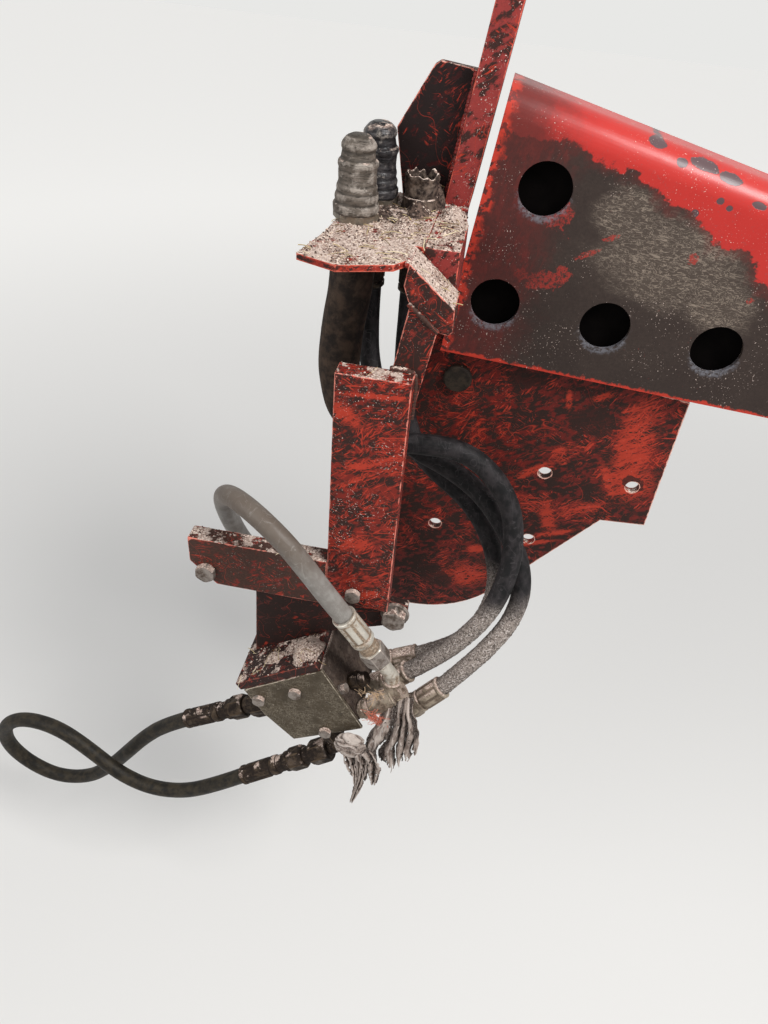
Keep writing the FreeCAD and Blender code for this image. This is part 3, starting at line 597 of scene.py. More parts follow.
def worn_red(name, film, strokes, chaff, fleck, paint=MID_RED, dirt=FILM, vivid=(), smooth=(), rise=35.0,
             edge=colour(222, 132, 114)):
    """Red paint under a share of greasy film. vivid lists ovals that were rubbed bright, smooth ones that are
    darker and smoother, each as x, z, width, height in millimetres and rise in degrees. On the side plate the
    smooth ovals under the beam are partly film and partly painted shadow."""
    f = Finish(name)
    mottle = f.drawn(150.0, 1.8, rise, 6.0) * 0.72 + f.noise(30.0, 3.0, 0.6) * 0.28
    red = f.mix(f.noise(60.0, 4.0, 0.6), shade(paint, 0.62), paint)
    grime = f.mix(f.noise(320.0, 3.0), SOOT, dirt)
    middle = 0.40 + 0.20 * film
    cover = f.band(mottle, middle + 0.045, middle - 0.045)
    marks = brushed(f, strokes, f.spots(vivid) if vivid else None)
    patch = 0.58 - 0.12 * strokes
    marks = marks.most(f.lines(46.0, 0.012, None, 1.6) * f.band(f.noise(19.0, 2.0), patch, patch + 0.06))
    if vivid:
        swept = f.drawn(210.0, 6.0, rise, 6.0, 0.5) * 0.75 + f.noise(120.0, 5.0, 0.75) * 0.25
        marks = marks.most(f.band(swept + f.spots(vivid) * 0.15, 0.635, 0.675))
    marks = marks.most(f.lines(15.0, 0.0035, None, 0.8) * 0.7)
    # Smooth ovals take the film colour and lose their strokes; on the side plate those under the beam are partly
    # painted shadow.
    if smooth:
        thick = f.spots(smooth, f.noise(38.0, 5.0, 0.65), 2.2) * 0.85
        cover = cover.most(thick)
        marks = marks * (1.0 - thick)
    base = f.mix(cover * 0.93, red, grime)
    base = f.mix(marks * 0.85, base, f.mix(f.noise(90.0, 3.0), colour(158, 46, 31), BRIGHT_RED))
    base, worn = edge_wear(f, base, edge)
    base = flecks(f, base, fleck)
    rough = 0.50 + cover * 0.20 - marks * 0.06
    base, rough, heap = chaff_layer(f, base, rough, chaff)
    height = cover * 0.16 + f.noise(420.0, 4.0, 0.7) * 0.45 - marks * 0.12 + heap * 1.4
    return f.done(base, rough, 0.0, height, 0.0007, 0.7)


POST_VIVID = [(-146, 176, 76, 12, 22), (-160, 150, 60, 7, 34), (-140, 262, 90, 6, 4), (-172, 236, 22, 46, 60),
              (-150, 60, 40, 22, 30), (-128, -20, 30, 12, 20)]
PLATE_VIVID = [(172, 120, 46, 132, 4), (156, 62, 16, 60, 30), (128, 8, 70, 14, 28), (182, 66, 60, 60, 20),
               (83, 93, 20, 24, 0), (54, 62, 52, 12, 38), (88, -12, 22, 58, 20), (100, -42, 62, 9, 24),
               (78, -66, 60, 7, 22), (-8, -150, 62, 44, 30), (-34, -150, 60, 14, 20), (-2, -96, 30, 16, 20),
               (76, 176, 8, 26, 10), (116, 188, 26, 10, 30)]
# Darker, smoother ovals on the side plate. The two under the beam, at (110, 150) and (20, 196), are partly film and
# partly painted shadow of the beam; the others are simply darker.
PLATE_SMOOTH = [(-62, -160, 70, 40, -38), (110, 150, 56, 44, 0), (188, 66, 34, 26, 0), (20, 196, 60, 30, 0)]
post_paint = worn_red("post paint", 0.62, 0.66, 0.42, 0.9, vivid=POST_VIVID)
elbow_paint = worn_red("elbow paint", 0.80, 0.35, 1.10, 0.9, colour(118, 40, 32), rise=55.0)
arm_paint = worn_red("arm paint", 0.94, 0.10, 0.44, 0.5, dirt=colour(78, 58, 48), rise=20.0)
plate_paint = worn_red("side plate paint", 0.62, 0.36, 0.30, 0.25, colour(106, 30, 24), colour(44, 31, 25),
                       PLATE_VIVID, PLATE_SMOOTH, 28.0, colour(232, 178, 160))
top_paint = worn_red("mast paint", 0.34, 0.10, 0.60, 1.0, colour(150, 57, 53), edge=colour(208, 96, 78))
shelf_paint = worn_red("shelf paint", 0.35, 0.30, 0.72, 0.8, colour(150, 46, 34), edge=colour(206, 98, 78))
# The gusset's dark red and its darker film colour are painted shade: its face stands in shadow, and its paint is the
# red of the mast.
gusset_shaded_paint = worn_red("gusset shaded paint", 0.85, 0.0, 0.40, 0.3, colour(58, 18, 18), colour(26, 13, 13))
# The bracket's darker red, film and edge colours are painted shade: the front face of its plate stands in shade. Its
# flange wears the same paint.
bracket_shaded_paint = worn_red("bracket shaded paint", 0.90, 0.05, 0.30, 0.5, colour(84, 34, 28), colour(44, 30, 26),
                         edge=colour(124, 66, 54))
print("worn red finishes:", 8)

# %% [markdown]
# ## The beam's paint
#
# The pressed beam kept its gloss along the rounded shoulder, while its web is covered by a grey-brown
# greasy film. One broad patch of the film is lighter: its strokes are marks of wiping and scouring, and its
# even lift is a painted sheen of light on the web. Along the left and lower edges a strip of red shows. Noise
# alone would put such patches anywhere, so the finish measures with dot products how far a point lies from
# the beam's edges, and noise only tears the rims.

# %% Beam paint
BEAM_LOW_LEFT = Vector((-0.094, -0.032, 0.228))
BEAM_TOP_LEFT = Vector((-0.0582, -0.032, 0.524))
BEAM_TOP_FALL, BEAM_LOW_FALL, BEAM_LEAN = math.radians(13.2), math.radians(3.4), math.radians(6.9)
# The gloss ends this far below the top edge: at the left edge, then per metre and per square metre from it
GLOSS_REACH, GLOSS_SLOPE, GLOSS_CURVE = 0.040, -0.1756, 1.015


def distance_from(f, start, direction):
    """Signed distance of each point from a plane through start."""
    reach = f.node("ShaderNodeVectorMath", {"operation": "DOT_PRODUCT"}, {0: f.place, 1: tuple(direction)},
                   "Value")
    return reach - start.dot(direction)


BEAM_RED_SPOTS = [(13, 333, 46, 22, 10), (31, 341, 18, 20, 0), (-14, 336, 16, 14, 0), (52, 368, 26, 7, 28),
                  (74, 389, 18, 6, 24), (163, 378, 12, 12, -20), (10, 407, 30, 34, 60), (236, 342, 8, 8, 0)]
BEAM_WIPED_SHEEN = [(140, 374, 150, 96, -8), (84, 410, 70, 60, 0), (208, 330, 80, 60, -30)]
BEAM_CHIPS = [(96, 484, 20, 8, -12), (148, 469, 34, 9, -14), (124, 470, 12, 8, -10), (176, 460, 26, 9, -14),
              (150, 425, 8, 8, 0), (171, 440, 8, 7, 0), (182, 434, 7, 6, 0), (60, 500, 60, 4, -13),
              (210, 440, 16, 7, -14)]


def beam_finish():
    f = Finish("beam paint")
    fall = Vector((math.sin(BEAM_TOP_FALL), 0.0, math.cos(BEAM_TOP_FALL)))
    low = Vector((math.sin(BEAM_LOW_FALL), 0.0, math.cos(BEAM_LOW_FALL)))
    left = Vector((math.cos(BEAM_LEAN), 0.0, -math.sin(BEAM_LEAN)))
    below = distance_from(f, BEAM_TOP_LEFT, -fall)
    above_low = distance_from(f, BEAM_LOW_LEFT, low)
    from_left = distance_from(f, BEAM_LOW_LEFT, left)
    ragged = (f.noise(26.0, 6.0, 0.66) - 0.5) * 0.062 + (f.drawn(90.0, 4.0, -10.0, 3.0) - 0.5) * 0.022
    margin = below + ragged - (from_left * from_left * GLOSS_CURVE + from_left * GLOSS_SLOPE + GLOSS_REACH)
    glossy = f.band(margin, 0.0020, -0.0020)
    haze = f.band(margin + (f.noise(60.0, 5.0, 0.7) - 0.5) * 0.05, 0.020, -0.006)
    gloss = f.mix(f.band(f.noise(9.0, 2.0), 0.4, 0.7), GLOSS_RED, colour(172, 40, 35))
    gloss = f.mix(f.band(f.noise(330.0, 2.0), 0.60, 0.72) * 0.35, gloss, colour(140, 70, 68))
    chips = f.spots(BEAM_CHIPS, f.noise(150.0, 4.0), 0.9)
    gloss = f.mix(chips, gloss, colour(86, 66, 68))
    film = f.mix(f.noise(260.0, 5.0, 0.75), colour(34, 27, 24), colour(70, 58, 52))
    film = f.mix(f.band(f.noise(12.0, 3.0), 0.35, 0.65) * 0.5, film, colour(44, 34, 31))
    fibres = f.lines(62.0, 0.035, f.stretched((1.0, 1.0, 2.2)), 2.6)
    fibres = fibres.most(f.band(f.drawn(330.0, 4.0, -4.0, 4.0, 1.4), 0.55, 0.64))
    # The light patch on the web: its fibre strokes are wipe and scour marks, and the even lift over the whole patch
    # is a painted sheen.
    wiped_and_sheen = f.band(f.spots(BEAM_WIPED_SHEEN) + (f.drawn(34.0, 2.6, -6.0, 5.0) - 0.5) * 1.3, 0.15, 0.95)
    film = f.mix(wiped_and_sheen * (0.14 + fibres * 0.66), film, colour(142, 128, 114))
    streaky = f.band(f.drawn(170.0, 2.6, 78.0, 5.0, 0.2), 0.47, 0.57)
    at_left = f.band(from_left + (f.noise(24.0, 4.0, 0.6) - 0.5) * 0.10, 0.088, 0.030)
    film = f.mix(at_left * 0.50, film, colour(72, 30, 28))
    film = f.mix(at_left * streaky * 0.65, film, colour(128, 40, 35))
    film = f.mix(haze * 0.55, film, colour(98, 38, 34))
    spots = f.spots(BEAM_RED_SPOTS, f.noise(150.0, 5.0, 0.75), 2.6)
    spots = spots * f.band(f.noise(250.0, 4.0, 0.7), 0.40, 0.56)
    film = f.mix(spots * 0.75, film, colour(160, 50, 42))
    base = f.mix(glossy, film, gloss)
    corner = f.band(from_left - below * 0.12 + (f.noise(22.0, 6.0, 0.70) - 0.5) * 0.11, 0.088, 0.022)
    burnt = f.mix(f.noise(200.0, 4.0, 0.7), colour(46, 30, 28), colour(94, 40, 35))
    base = f.mix(corner * 0.80, base, burnt)
    strip = f.band(above_low + (f.noise(90.0, 6.0, 0.75) - 0.5) * 0.020, 0.0045, 0.0015)
    side = f.band(from_left + (f.noise(60.0, 4.0) - 0.5) * 0.03, 0.013, 0.005)
    side = side * f.band(f.noise(130.0, 4.0), 0.42, 0.52)
    base = f.mix(strip.most(side) * 0.9, base, colour(184, 54, 38))
    base = flecks(f, base, 0.75)
    rim = f.band(f.attribute("rim") + (f.noise(170.0, 5.0, 0.75) - 0.5) * 1.1, 0.30, 0.75)
    rim = rim * f.band(f.noise(240.0, 4.0, 0.7), 0.36, 0.56)
    dust = f.mix(f.noise(420.0, 3.0), colour(74, 74, 82), colour(140, 140, 146))
    base = f.mix(rim * 0.70, base, dust)
    rough = 0.62 - glossy * 0.30 + f.noise(90.0) * 0.12
    base, rough, _ = chaff_layer(f, base, rough, 0.10, 0.8)
    height = f.noise(300.0, 5.0, 0.7) * (1.0 - glossy) * 0.8 + (1.0 - chips) * glossy * 0.5
    coat = {"Coat Weight": glossy * 0.28, "Coat Roughness": 0.26}
    return f.done(base, rough, 0.0, height + wiped_and_sheen * fibres * 0.3, 0.0006, 0.6, coat)


def back_plate_shade_finish():
    f = Finish("soot")
    # Near-black on the side that faces the beam's holes is painted shade: the hollow behind the beam is shallow, and
    # the black stands for the dark of a deep one. The side facing away keeps dirty red paint.
    base = f.mix(f.noise(60.0, 3.0), colour(9, 8, 8), colour(20, 17, 16))
    behind = f.band(f.part("Y", f.normal), 0.3, 0.6)
    dirty = f.mix(f.band(f.noise(40.0, 5.0, 0.65), 0.42, 0.56), colour(104, 38, 32), colour(46, 33, 28))
    return f.done(f.mix(behind, base, dirty), 0.9, extra={"Specular IOR Level": 0.0})


beam_paint, back_plate_shade_paint = beam_finish(), back_plate_shade_finish()
print("beam paint is", beam_paint.name)

# %% [markdown]
# ## Plates with worn edges
#
# A flame-cut plate never has the knife edge of a drawing. Bump can round an edge for the eye, but it can't
# break an outline. So each plate is copied from its solid, its triangles are merged back into flat faces,
# every sharp edge gets a small bevel, and the faces are sliced into a fine grid. Then wear presses the skin
# in here and there, never out, so that the size stays true.


# %% A plate from its solid
MERGE, ALMOST_FLAT, SHARP = 0.00002, math.radians(0.6), math.radians(28)
TREE_STEP = 0.002


def clean_copy(node):
    """The solid's mesh, merged into flat faces, with its sharp edges marked."""
    mesh = bmesh.new()
    mesh.from_mesh(nodes[node].data)
    bmesh.ops.remove_doubles(mesh, verts=mesh.verts, dist=MERGE)
    bmesh.ops.dissolve_limit(mesh, angle_limit=ALMOST_FLAT, verts=mesh.verts, edges=mesh.edges)
    sharp = [e for e in mesh.edges if e.is_manifold and e.calc_face_angle(0) > SHARP]
    return mesh, sharp


def edge_tree(sharp):
    """Points along the sharp edges, for distances."""
    spots = []
    for edge in sharp:
        a, b = (v.co.copy() for v in edge.verts)
        count = max(1, round((b - a).length / TREE_STEP))
        spots += [a.lerp(b, i / count) for i in range(count + 1)]
    tree = KDTree(len(spots))
    for i, spot in enumerate(spots):
        tree.insert(spot, i)
    tree.balance()
    return tree


def slice_grid(mesh, step):
    """Cuts the faces along planes a step apart, at least three across the thickness of a plate."""
    for axis in range(3):
        low = min(v.co[axis] for v in mesh.verts)
        high = max(v.co[axis] for v in mesh.verts)
        count = max(int((high - low) / step), 3)
        for i in range(1, count + 1):
            place = Vector((0.0, 0.0, 0.0))
            place[axis] = low + (high - low) * i / (count + 1)
            normal = Vector((0.0, 0.0, 0.0))
            normal[axis] = 1.0
            bmesh.ops.bisect_plane(mesh, geom=mesh.verts[:] + mesh.edges[:] + mesh.faces[:], dist=MERGE,
                                   plane_co=place, plane_no=normal)


# %% Dressed plates
WEAR, WEAR_SCALE = 0.0003, 70.0


def dress(node, finish, bevel, step):
    """A worn copy of a plate that stands for its solid."""
    mesh, sharp = clean_copy(node)
    tree = edge_tree(sharp)
    bmesh.ops.bevel(mesh, geom=sharp, offset=bevel, segments=2, profile=0.5, affect="EDGES",
                    clamp_overlap=True)
    slice_grid(mesh, step)
    bmesh.ops.remove_doubles(mesh, verts=mesh.verts, dist=0.00001)
    mesh.normal_update()
    for vert in mesh.verts:
        lump = 0.5 + 0.5 * noise.fractal(vert.co * WEAR_SCALE, 1.0, 2.0, 3)
        vert.co -= vert.normal * WEAR * min(max(lump, 0.0), 1.0)
    away = [tree.find(v.co)[2] for v in mesh.verts]
    piece = add_mesh(node + "_worn", [], [])
    mesh.to_mesh(piece.data)
    mesh.free()
    piece.data.polygons.foreach_set("use_smooth", [True] * len(piece.data.polygons))
    store(piece, "edge", away)
    return stands_for(auto_smooth(piece, 50), node, finish)


# node, finish, slot, bevel, grid step
PLATES = [
    ("side_plate", plate_paint, "red_paint", 0.0018, 0.008),
    ("foot_bar", top_paint, "red_paint", 0.0018, 0.007),
    ("mast_plate", top_paint, "red_paint", 0.0012, 0.008),
    ("mast_gusset", gusset_shaded_paint, "red_paint", 0.0010, 0.008),
    ("post", post_paint, "red_paint", 0.0014, 0.006),
    ("arm", arm_paint, "red_paint", 0.0014, 0.006),
    ("elbow_bar", elbow_paint, "red_paint", 0.0014, 0.005),
    ("strut", elbow_paint, "red_paint", 0.0014, 0.006),
    ("coupler_shelf", shelf_paint, "red_paint", 0.0008, 0.006),
    ("holed_beam", beam_paint, "beam_paint", 0.0008, 0.009),
    ("beam_back_plate", back_plate_shade_paint, "beam_paint", 0.0006, 0.020),
    ("bracket_plate", bracket_shaded_paint, "red_paint", 0.0012, 0.007),
    ("bracket_flange", bracket_shaded_paint, "red_paint", 0.0016, 0.006),
]
plates = {}
for node, finish, slot, bevel, step in PLATES:
    plates[node] = dress(node, finish, bevel, step)
    print(node, "has", len(plates[node].data.vertices), "points")

# %% Dust below the beam's holes
# centre x and z, in millimetres
BEAM_HOLES = [(-38.0, 298.0), (91.5, 289.0), (221.0, 280.0), (350.5, 271.0), (-6.0, 429.0)]
HOLE_RADIUS, RIM_SPAN, RIM_TURN = 28.5, 12.0, 0.35


def rim_dust(x, z):
    """1 just below a hole, falling to 0 over its sides and with the distance from its rim."""
    most = 0.0
    for hole_x, hole_z in BEAM_HOLES:
        away = math.hypot(x - hole_x, z - hole_z)
        if away < HOLE_RADIUS + RIM_SPAN:
            near = 1.0 - max(0.0, away - HOLE_RADIUS) / RIM_SPAN
            below = max(0.0, RIM_TURN - (z - hole_z) / max(away, 1.0)) / (1.0 + RIM_TURN)
            most = max(most, near * below)
    return most


holed = plates["holed_beam"]
store(holed, "rim", [rim_dust(v.co.x / MM, v.co.z / MM) for v in holed.data.vertices])
print("rims of", len(BEAM_HOLES), "holes are dusty")

# %% [markdown]
# ## Weld beads
#
# The bars are welded where they meet, with the short rough beads of a workshop welder. A row of rings could
# make one, or bump on a plain tube. A swept tube is closed and simple: its girth swells with each pulse of
# the torch, and most of it sinks into the two plates.

# %% Beads along the joints
BEAD_PULSE, BEAD_STEP = 0.0042, 0.0007


def bead(name, ends, radius, finish):
    """One weld bead through its points, in millimetres."""
    line = centreline([Vector(place) * MM for place in ends], BEAD_STEP)

    def girth(along, angle):
        pulse = abs(math.sin(math.pi * along / BEAD_PULSE + 0.8 * wobble(along * 60.0, 0.0, 0.0)))
        rough = noise.noise(Vector((math.cos(angle), math.sin(angle), along * 500.0)) * 1.3)
        return radius * (0.80 + 0.20 * pulse + 0.10 * rough)
    piece = sweep(name, line, girth, 16)
    store(piece, "edge", [0.004 + 0.004 * noise.noise(v.co * 90.0) for v in piece.data.vertices])
    piece.data.materials.append(finish)
    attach(piece, CONSOLE)


# name, points in millimetres, radius in millimetres, finish
BEADS = [
    ("bead_post", [(-132, -198, 283), (-118, -198, 283.5), (-107, -198, 282), (-104.5, -198, 272),
                   (-104.5, -198, 245), (-105, -198, 228)], 3.4, arm_paint),
    ("bead_elbow", [(-120, -197.5, 354.5), (-104, -197.5, 342), (-88, -197.5, 329)], 2.6, arm_paint),
    ("bead_shelf", [(-124.5, -196, 391), (-124.5, -175, 392), (-124.5, -152, 391)], 3.2, shelf_paint),
    ("bead_gusset", [(-112, -6, 396), (-103.5, -6, 462), (-95, -6, 527)], 3.6, top_paint),
    ("bead_mast", [(-111, -22.5, 395), (-98, -22.5, 395), (-84, -22.5, 395)], 3.4, top_paint),
]
for name, ends, radius, finish in BEADS:
    bead(name, ends, radius * MM, finish)
print("weld beads:", len(BEADS))

# %% [markdown]
# ## Heaps of chaff and earth
#
# Chaff, dust and oil build small mounds where a corner keeps them from sliding off: behind the caps, round
# the stub, at the foot of the mast. Crumbs alone would have to be many thousands to build one, so each heap
# is a low dome whose outline and skin are made ragged by noise. It is closed below, and the crumbs that are
# scattered later fall on it too.

# %% Heaps of chaff and earth
RINGS, SECTORS, GRIT = 16, 44, 0.0016
ACROSS, INWARDS, UP = Vector((1.0, 0.0, 0.0)), Vector((0.0, 1.0, 0.0)), Vector((0.0, 0.0, 1.0))
SHELF_TOP = 0.394


def heap(name, centre, across, deep, up, height, seed, finish):
    """A low mound with a ragged outline, closed below. across and deep are its two half axes."""
    points = []
    for i in range(RINGS + 1):
        r = i / RINGS
        for k in range(SECTORS):
            angle = 2 * math.pi * k / SECTORS
            edge = 1.0 + 0.30 * wobble(math.cos(angle) * 1.6, math.sin(angle) * 1.6, seed)
            spot = centre + (across * math.cos(angle) + deep * math.sin(angle)) * (0.02 + 0.98 * r) * edge
            rise = height * max(0.0, 1.0 - r * r) ** 1.1 * (1.0 + 0.5 * noise.noise(spot * 60.0))
            grit = GRIT * noise.fractal(spot * 260.0, 1.0, 2.0, 3) * (1.0 - 0.6 * r)
            points.append(spot + up * (rise + grit - GRIT * r))
    piece = add_mesh(name, points, wall_faces(RINGS + 1, SECTORS, False))
    piece.data.materials.append(finish)
    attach(piece, CONSOLE)
    plates[name] = piece


def earth_finish(name, chaff):
    f = Finish(name)
    ground = f.mix(f.band(f.noise(260.0, 4.0, 0.7), 0.38, 0.62), colour(34, 26, 23), colour(106, 88, 78))
    base, rough, grit = chaff_layer(f, ground, 0.9, chaff, -0.6)
    return f.done(base, rough, 0.0, grit + f.noise(300.0, 4.0, 0.7), 0.0014, 0.9)


earth, soil = earth_finish("chaff and earth", 1.0), earth_finish("dark soil", 0.12)
litter = earth_finish("dark litter", 0.22)
# name, centre x and y, half width, half depth, height, seed, finish
SHELF_HEAPS = [
    ("heap_stub", -0.1350, -0.045, 0.017, 0.028, 0.011, 1.0, soil),
    ("heap_shelf", -0.1660, -0.0640, 0.033, 0.042, 0.0040, 11.0, litter),
    ("heap_back", -0.1220, -0.014, 0.018, 0.020, 0.024, 8.0, soil),
    ("heap_corner", -0.143, -0.112, 0.015, 0.034, 0.010, 2.0, earth),
    ("heap_foot", -0.098, -0.046, 0.016, 0.022, 0.010, 3.0, earth),
]
for name, x, y, wide, deep, height, seed, finish in SHELF_HEAPS:
    heap(name, Vector((x, y, SHELF_TOP)), ACROSS * wide, INWARDS * deep, UP, height, seed, finish)
print("heaps on the shelf:", len(SHELF_HEAPS))

# %% [markdown]
# ## Valve block and cover
#
# The block is a milled casting, grimy all over. Its front is closed by a thin flame-cut plate, olive-brown
# and finely scratched. Each piece of bare steel on the console could have a finish of its own, but they
# differ only in colours and in how much grease covers them, so one function makes them all, and only the
# cover has another one, for its scratches.


# %% Block, cover and steel finishes
def grimy_steel(name, clean, grime, share, metal, rough, chaff):
    """Bare or plated steel under an uneven film of grease and dust."""
    f = Finish(name)
    tint = f.mix(f.noise(80.0, 4.0), shade(clean, 0.75), clean)
    scuffs = f.lines(120.0, 0.03, f.stretched((0.6, 1.0, 1.4), (0.2, 0.6, 0.1)), 0.6)
    film = f.band(f.noise(70.0, 5.0, 0.65), 0.62 - 0.36 * share, 0.86 - 0.36 * share)
    relief = f.attribute("relief")
    film = film.most(f.band(relief, -0.1, -0.7) * 0.95)
    ridge = f.band(relief + (f.noise(90.0, 4.0, 0.7) - 0.5) * 0.9, 0.72, 0.95)
    film = film * (1.0 - ridge * 0.8)
    dirt = f.mix(f.band(f.noise(300.0, 3.0), 0.35, 0.65), grime, shade(grime, 0.55))
    base = f.mix(film, tint, dirt)
    base = f.mix((scuffs * 0.2).most(ridge * 0.55), base, shade(clean, 1.5))
    shine = rough + film * (0.85 - rough)
    base, shine, loose = chaff_layer(f, base, shine, chaff, 0.5)
    height = film * 0.5 + f.noise(380.0, 3.0) * 0.5 + loose
    return f.done(base, shine, (1.0 - film) * metal, height, 0.0005, 0.7)


# name, clean colour, grime colour, share of grime, metallic, roughness, chaff
STEELS = [
    ("block iron", (88, 74, 64), (50, 39, 33), 0.85, 0.2, 0.5, 0.8),
    ("bolt steel", (146, 136, 128), (88, 74, 64), 0.62, 0.30, 0.45, 0.60),
    ("coupler steel", (150, 140, 126), (66, 54, 46), 0.45, 0.8, 0.32, 0.5),
    ("plated fitting steel", (210, 203, 190), (146, 124, 102), 0.50, 0.40, 0.34, 0.30),
    ("dusty fitting steel", (160, 146, 128), (112, 96, 82), 0.66, 0.25, 0.5, 0.55),
    ("dark fitting steel", (74, 60, 46), (38, 29, 24), 0.78, 0.35, 0.42, 0.25),
    ("plug steel", (54, 45, 36), (32, 26, 21), 0.7, 0.1, 0.6, 0.1),
    ("stub crust", (120, 104, 92), (44, 34, 30), 0.8, 0.1, 0.7, 0.9),
]
steels = {name: grimy_steel(name, colour(*clean), colour(*grime), *amounts)
          for name, clean, grime, *amounts in STEELS}
block_iron, bolt_steel, coupler_steel, pale_steel = list(steels.values())[:4]
dusty_steel, dark_steel, plug_steel, stub_crust = list(steels.values())[4:]


def cover_finish():
    f = Finish("cover plate steel")
    base = f.mix(f.noise(28.0, 5.0, 0.6), colour(58, 50, 39), colour(84, 73, 58))
    fine = f.lines(260.0, 0.05, f.stretched((0.35, 1.0, 1.6), (0.0, 0.7, 0.0)), 0.5)
    cross = f.lines(210.0, 0.04, f.stretched((1.7, 1.0, 0.4), (0.0, 0.3, 0.0)), 0.5)
    base = f.mix(fine.most(cross) * f.band(f.noise(40.0, 2.0), 0.30, 0.6) * 0.6, base, colour(140, 130, 114))
    nicks = f.band(f.drawn(300.0, 3.0, 20.0, 4.0, 0.8), 0.63, 0.67)
    base = f.mix(nicks * 0.5, base, colour(166, 156, 138))
    base = f.mix(f.band(f.noise(110.0, 5.0, 0.7), 0.58, 0.66) * 0.6, base, colour(52, 44, 36))
    base, worn = edge_wear(f, base, colour(186, 174, 156), 0.7)
    base, rough, _ = chaff_layer(f, base, 0.62 - worn * 0.2, 0.4)
    return f.done(base, rough, 0.25, f.noise(300.0, 3.0) * 0.5 - fine * 0.4, 0.0004, 0.6)


plates["valve_block"] = dress("valve_block", block_iron, 0.0022, 0.007)
plates["cover_plate"] = dress("cover_plate", cover_finish(), 0.0006, 0.007)
print("block and cover dressed")

# %% [markdown]
# ## Crimped hose ends
#
# A hose ends in a ferrule that eight jaws pressed onto it, so its middle has flat flutes between a lip and
# a collar. Nuts have chamfered corners. Both could be cut from cylinders, but rings of points give cleaner
# faces. Each end is one run of rings: the stem that screws into its port, the nut, the ferrule. Where a
# fitting turns a corner, a forged knuckle joins its two runs.


# %% Rings of fittings
def round_rows(r, length):
    soft = min(0.0012, length / 4)
    return [(0.0, "round", r - soft, 1.0), (soft, "round", r, 1.0), (length - soft, "round", r, 1.0),
            (length, "round", r - soft, 1.0)]


def hex_rows(flat, length):
    """Nut: the limit cuts its corners to a cone at both ends."""
    half, corner = flat / 2, flat / math.sqrt(3)
    cut = (corner - half) * 0.9
    return [(0.0, "hex", half, half + 0.0002), (cut * 0.6, "hex", half, corner - cut * 0.45),
            (cut * 1.4, "hex", half, corner), (length - cut * 1.4, "hex", half, corner),
            (length - cut * 0.6, "hex", half, corner - cut * 0.45), (length, "hex", half, half + 0.0002)]


def ferrule_rows(r, length):
    """Collar, groove, fluted middle and rolled lip, ending at the hose."""
    share = [(0.0, "round", 0.93), (0.03, "round", 1.0), (0.14, "round", 1.0), (0.17, "round", 0.90),
             (0.21, "round", 0.90), (0.24, "flute", 1.0), (0.84, "flute", 1.0), (0.88, "round", 0.94),
             (0.91, "round", 0.94), (0.93, "round", 1.0), (0.985, "round", 1.0), (1.0, "round", 0.94)]
    return [(d * length, form, s * r, 1.0) for d, form, s in share]


ROWS = {"round": round_rows, "hex": hex_rows, "ferrule": ferrule_rows}


def run_of_rings(start, aim, chain):
    """Points and faces of a chain of pieces, and where it ends."""
    rows = []
    reach = 0.0
    for form, size, length in chain:
        rows += [(reach + d, kind, s, limit) for d, kind, s, limit in ROWS[form](size, length)]
        reach += length
    return lathe(start, aim, rows, 72), start + aim.normalized() * reach


def ball(centre, radius, sides=24, rings=12):
    """Closed round knuckle."""
    rows = []
    for i in range(rings + 1):
        turn = math.pi * (i + 0.02) / (rings + 0.04)
        rows.append((-radius * math.cos(turn), "round", radius * math.sin(turn), 1.0))
    return lathe(centre, Vector((0.0, 0.0, 1.0)), rows, sides)


# %% [markdown]
# ## Seats on the valve block
#
# The block stands turned in the plane of the console's side, and its ports lie in a row on its right face.
# Each hose end could be placed by coordinates of its own, but then nothing would tie it to the block. So
# every seat is measured along the block and down it, and a table gives each end its two runs: the way out
# of its port, and the way along its hose.

# %% Where the ends sit
BLOCK_TURN = math.radians(33.5)
BLOCK_CORNER = Vector((-0.288, -0.252, -0.2125))
BLOCK_EDGE, BLOCK_WIDTH, BLOCK_HEIGHT, BLOCK_DEPTH = 0.004, 0.122, 0.110, 0.120
ALONG = Vector((math.cos(BLOCK_TURN), 0.0, math.sin(BLOCK_TURN)))
DOWN = Vector((math.sin(BLOCK_TURN), 0.0, -math.cos(BLOCK_TURN)))


def on_block(u, v, depth):
    """Point u along and v down the turned block, at a depth behind its front."""
    return BLOCK_CORNER + ALONG * u + DOWN * v + INWARDS * depth


BLOCK_RIGHT = BLOCK_EDGE + BLOCK_WIDTH
PORT_PITCH, PORT_DEPTH, PORT_DOWN = 0.042, 0.012, 0.104
STEM = ("round", 0.0094, 0.010)
SWIVEL = ("hex", 0.031, 0.020)
FERRULE = ("ferrule", 0.016, 0.044)
SIDE_CHAIN = [("round", 0.013, 0.014), ("hex", 0.032, 0.026), ("round", 0.0155, 0.008), ("round", 0.013, 0.015),
              ("ferrule", 0.015, 0.068)]


def port(i):
    return on_block(BLOCK_RIGHT, PORT_DOWN, PORT_DEPTH + i * PORT_PITCH)


def block_aim(u, v, depth):
    return (ALONG * u + DOWN * v + INWARDS * depth).normalized()


# Cross adaptor on the first port: neck, body, two branches
CROSS_START, CROSS_LINE = port(0) + ALONG * 0.004, block_aim(67.6, -8.9, 10.0)
CROSS = [("round", 0.0137, 0.005), ("round", 0.0120, 0.0015), ("round", 0.0132, 0.008),
         ("round", 0.0118, 0.0015), ("round", 0.0130, 0.008), ("round", 0.0170, 0.030),
         ("round", 0.0175, 0.003), ("round", 0.0135, 0.0025), ("hex", 0.027, 0.010)]
CROSS_HOLE, CROSS_HOLE_DEPTH = 0.005, 0.004
HIGH_START, HIGH_LINE, BOSS = CROSS_START + CROSS_LINE * 0.050, block_aim(15.0, -28.0, 7.0), 0.025
LOW_START, LOW_LINE, LOW_BRANCH = CROSS_START + CROSS_LINE * 0.048, block_aim(2.5, 40.5, 8.7), 0.041
LOW_OUT = Vector((0.65, 0.18, 0.74)).normalized()


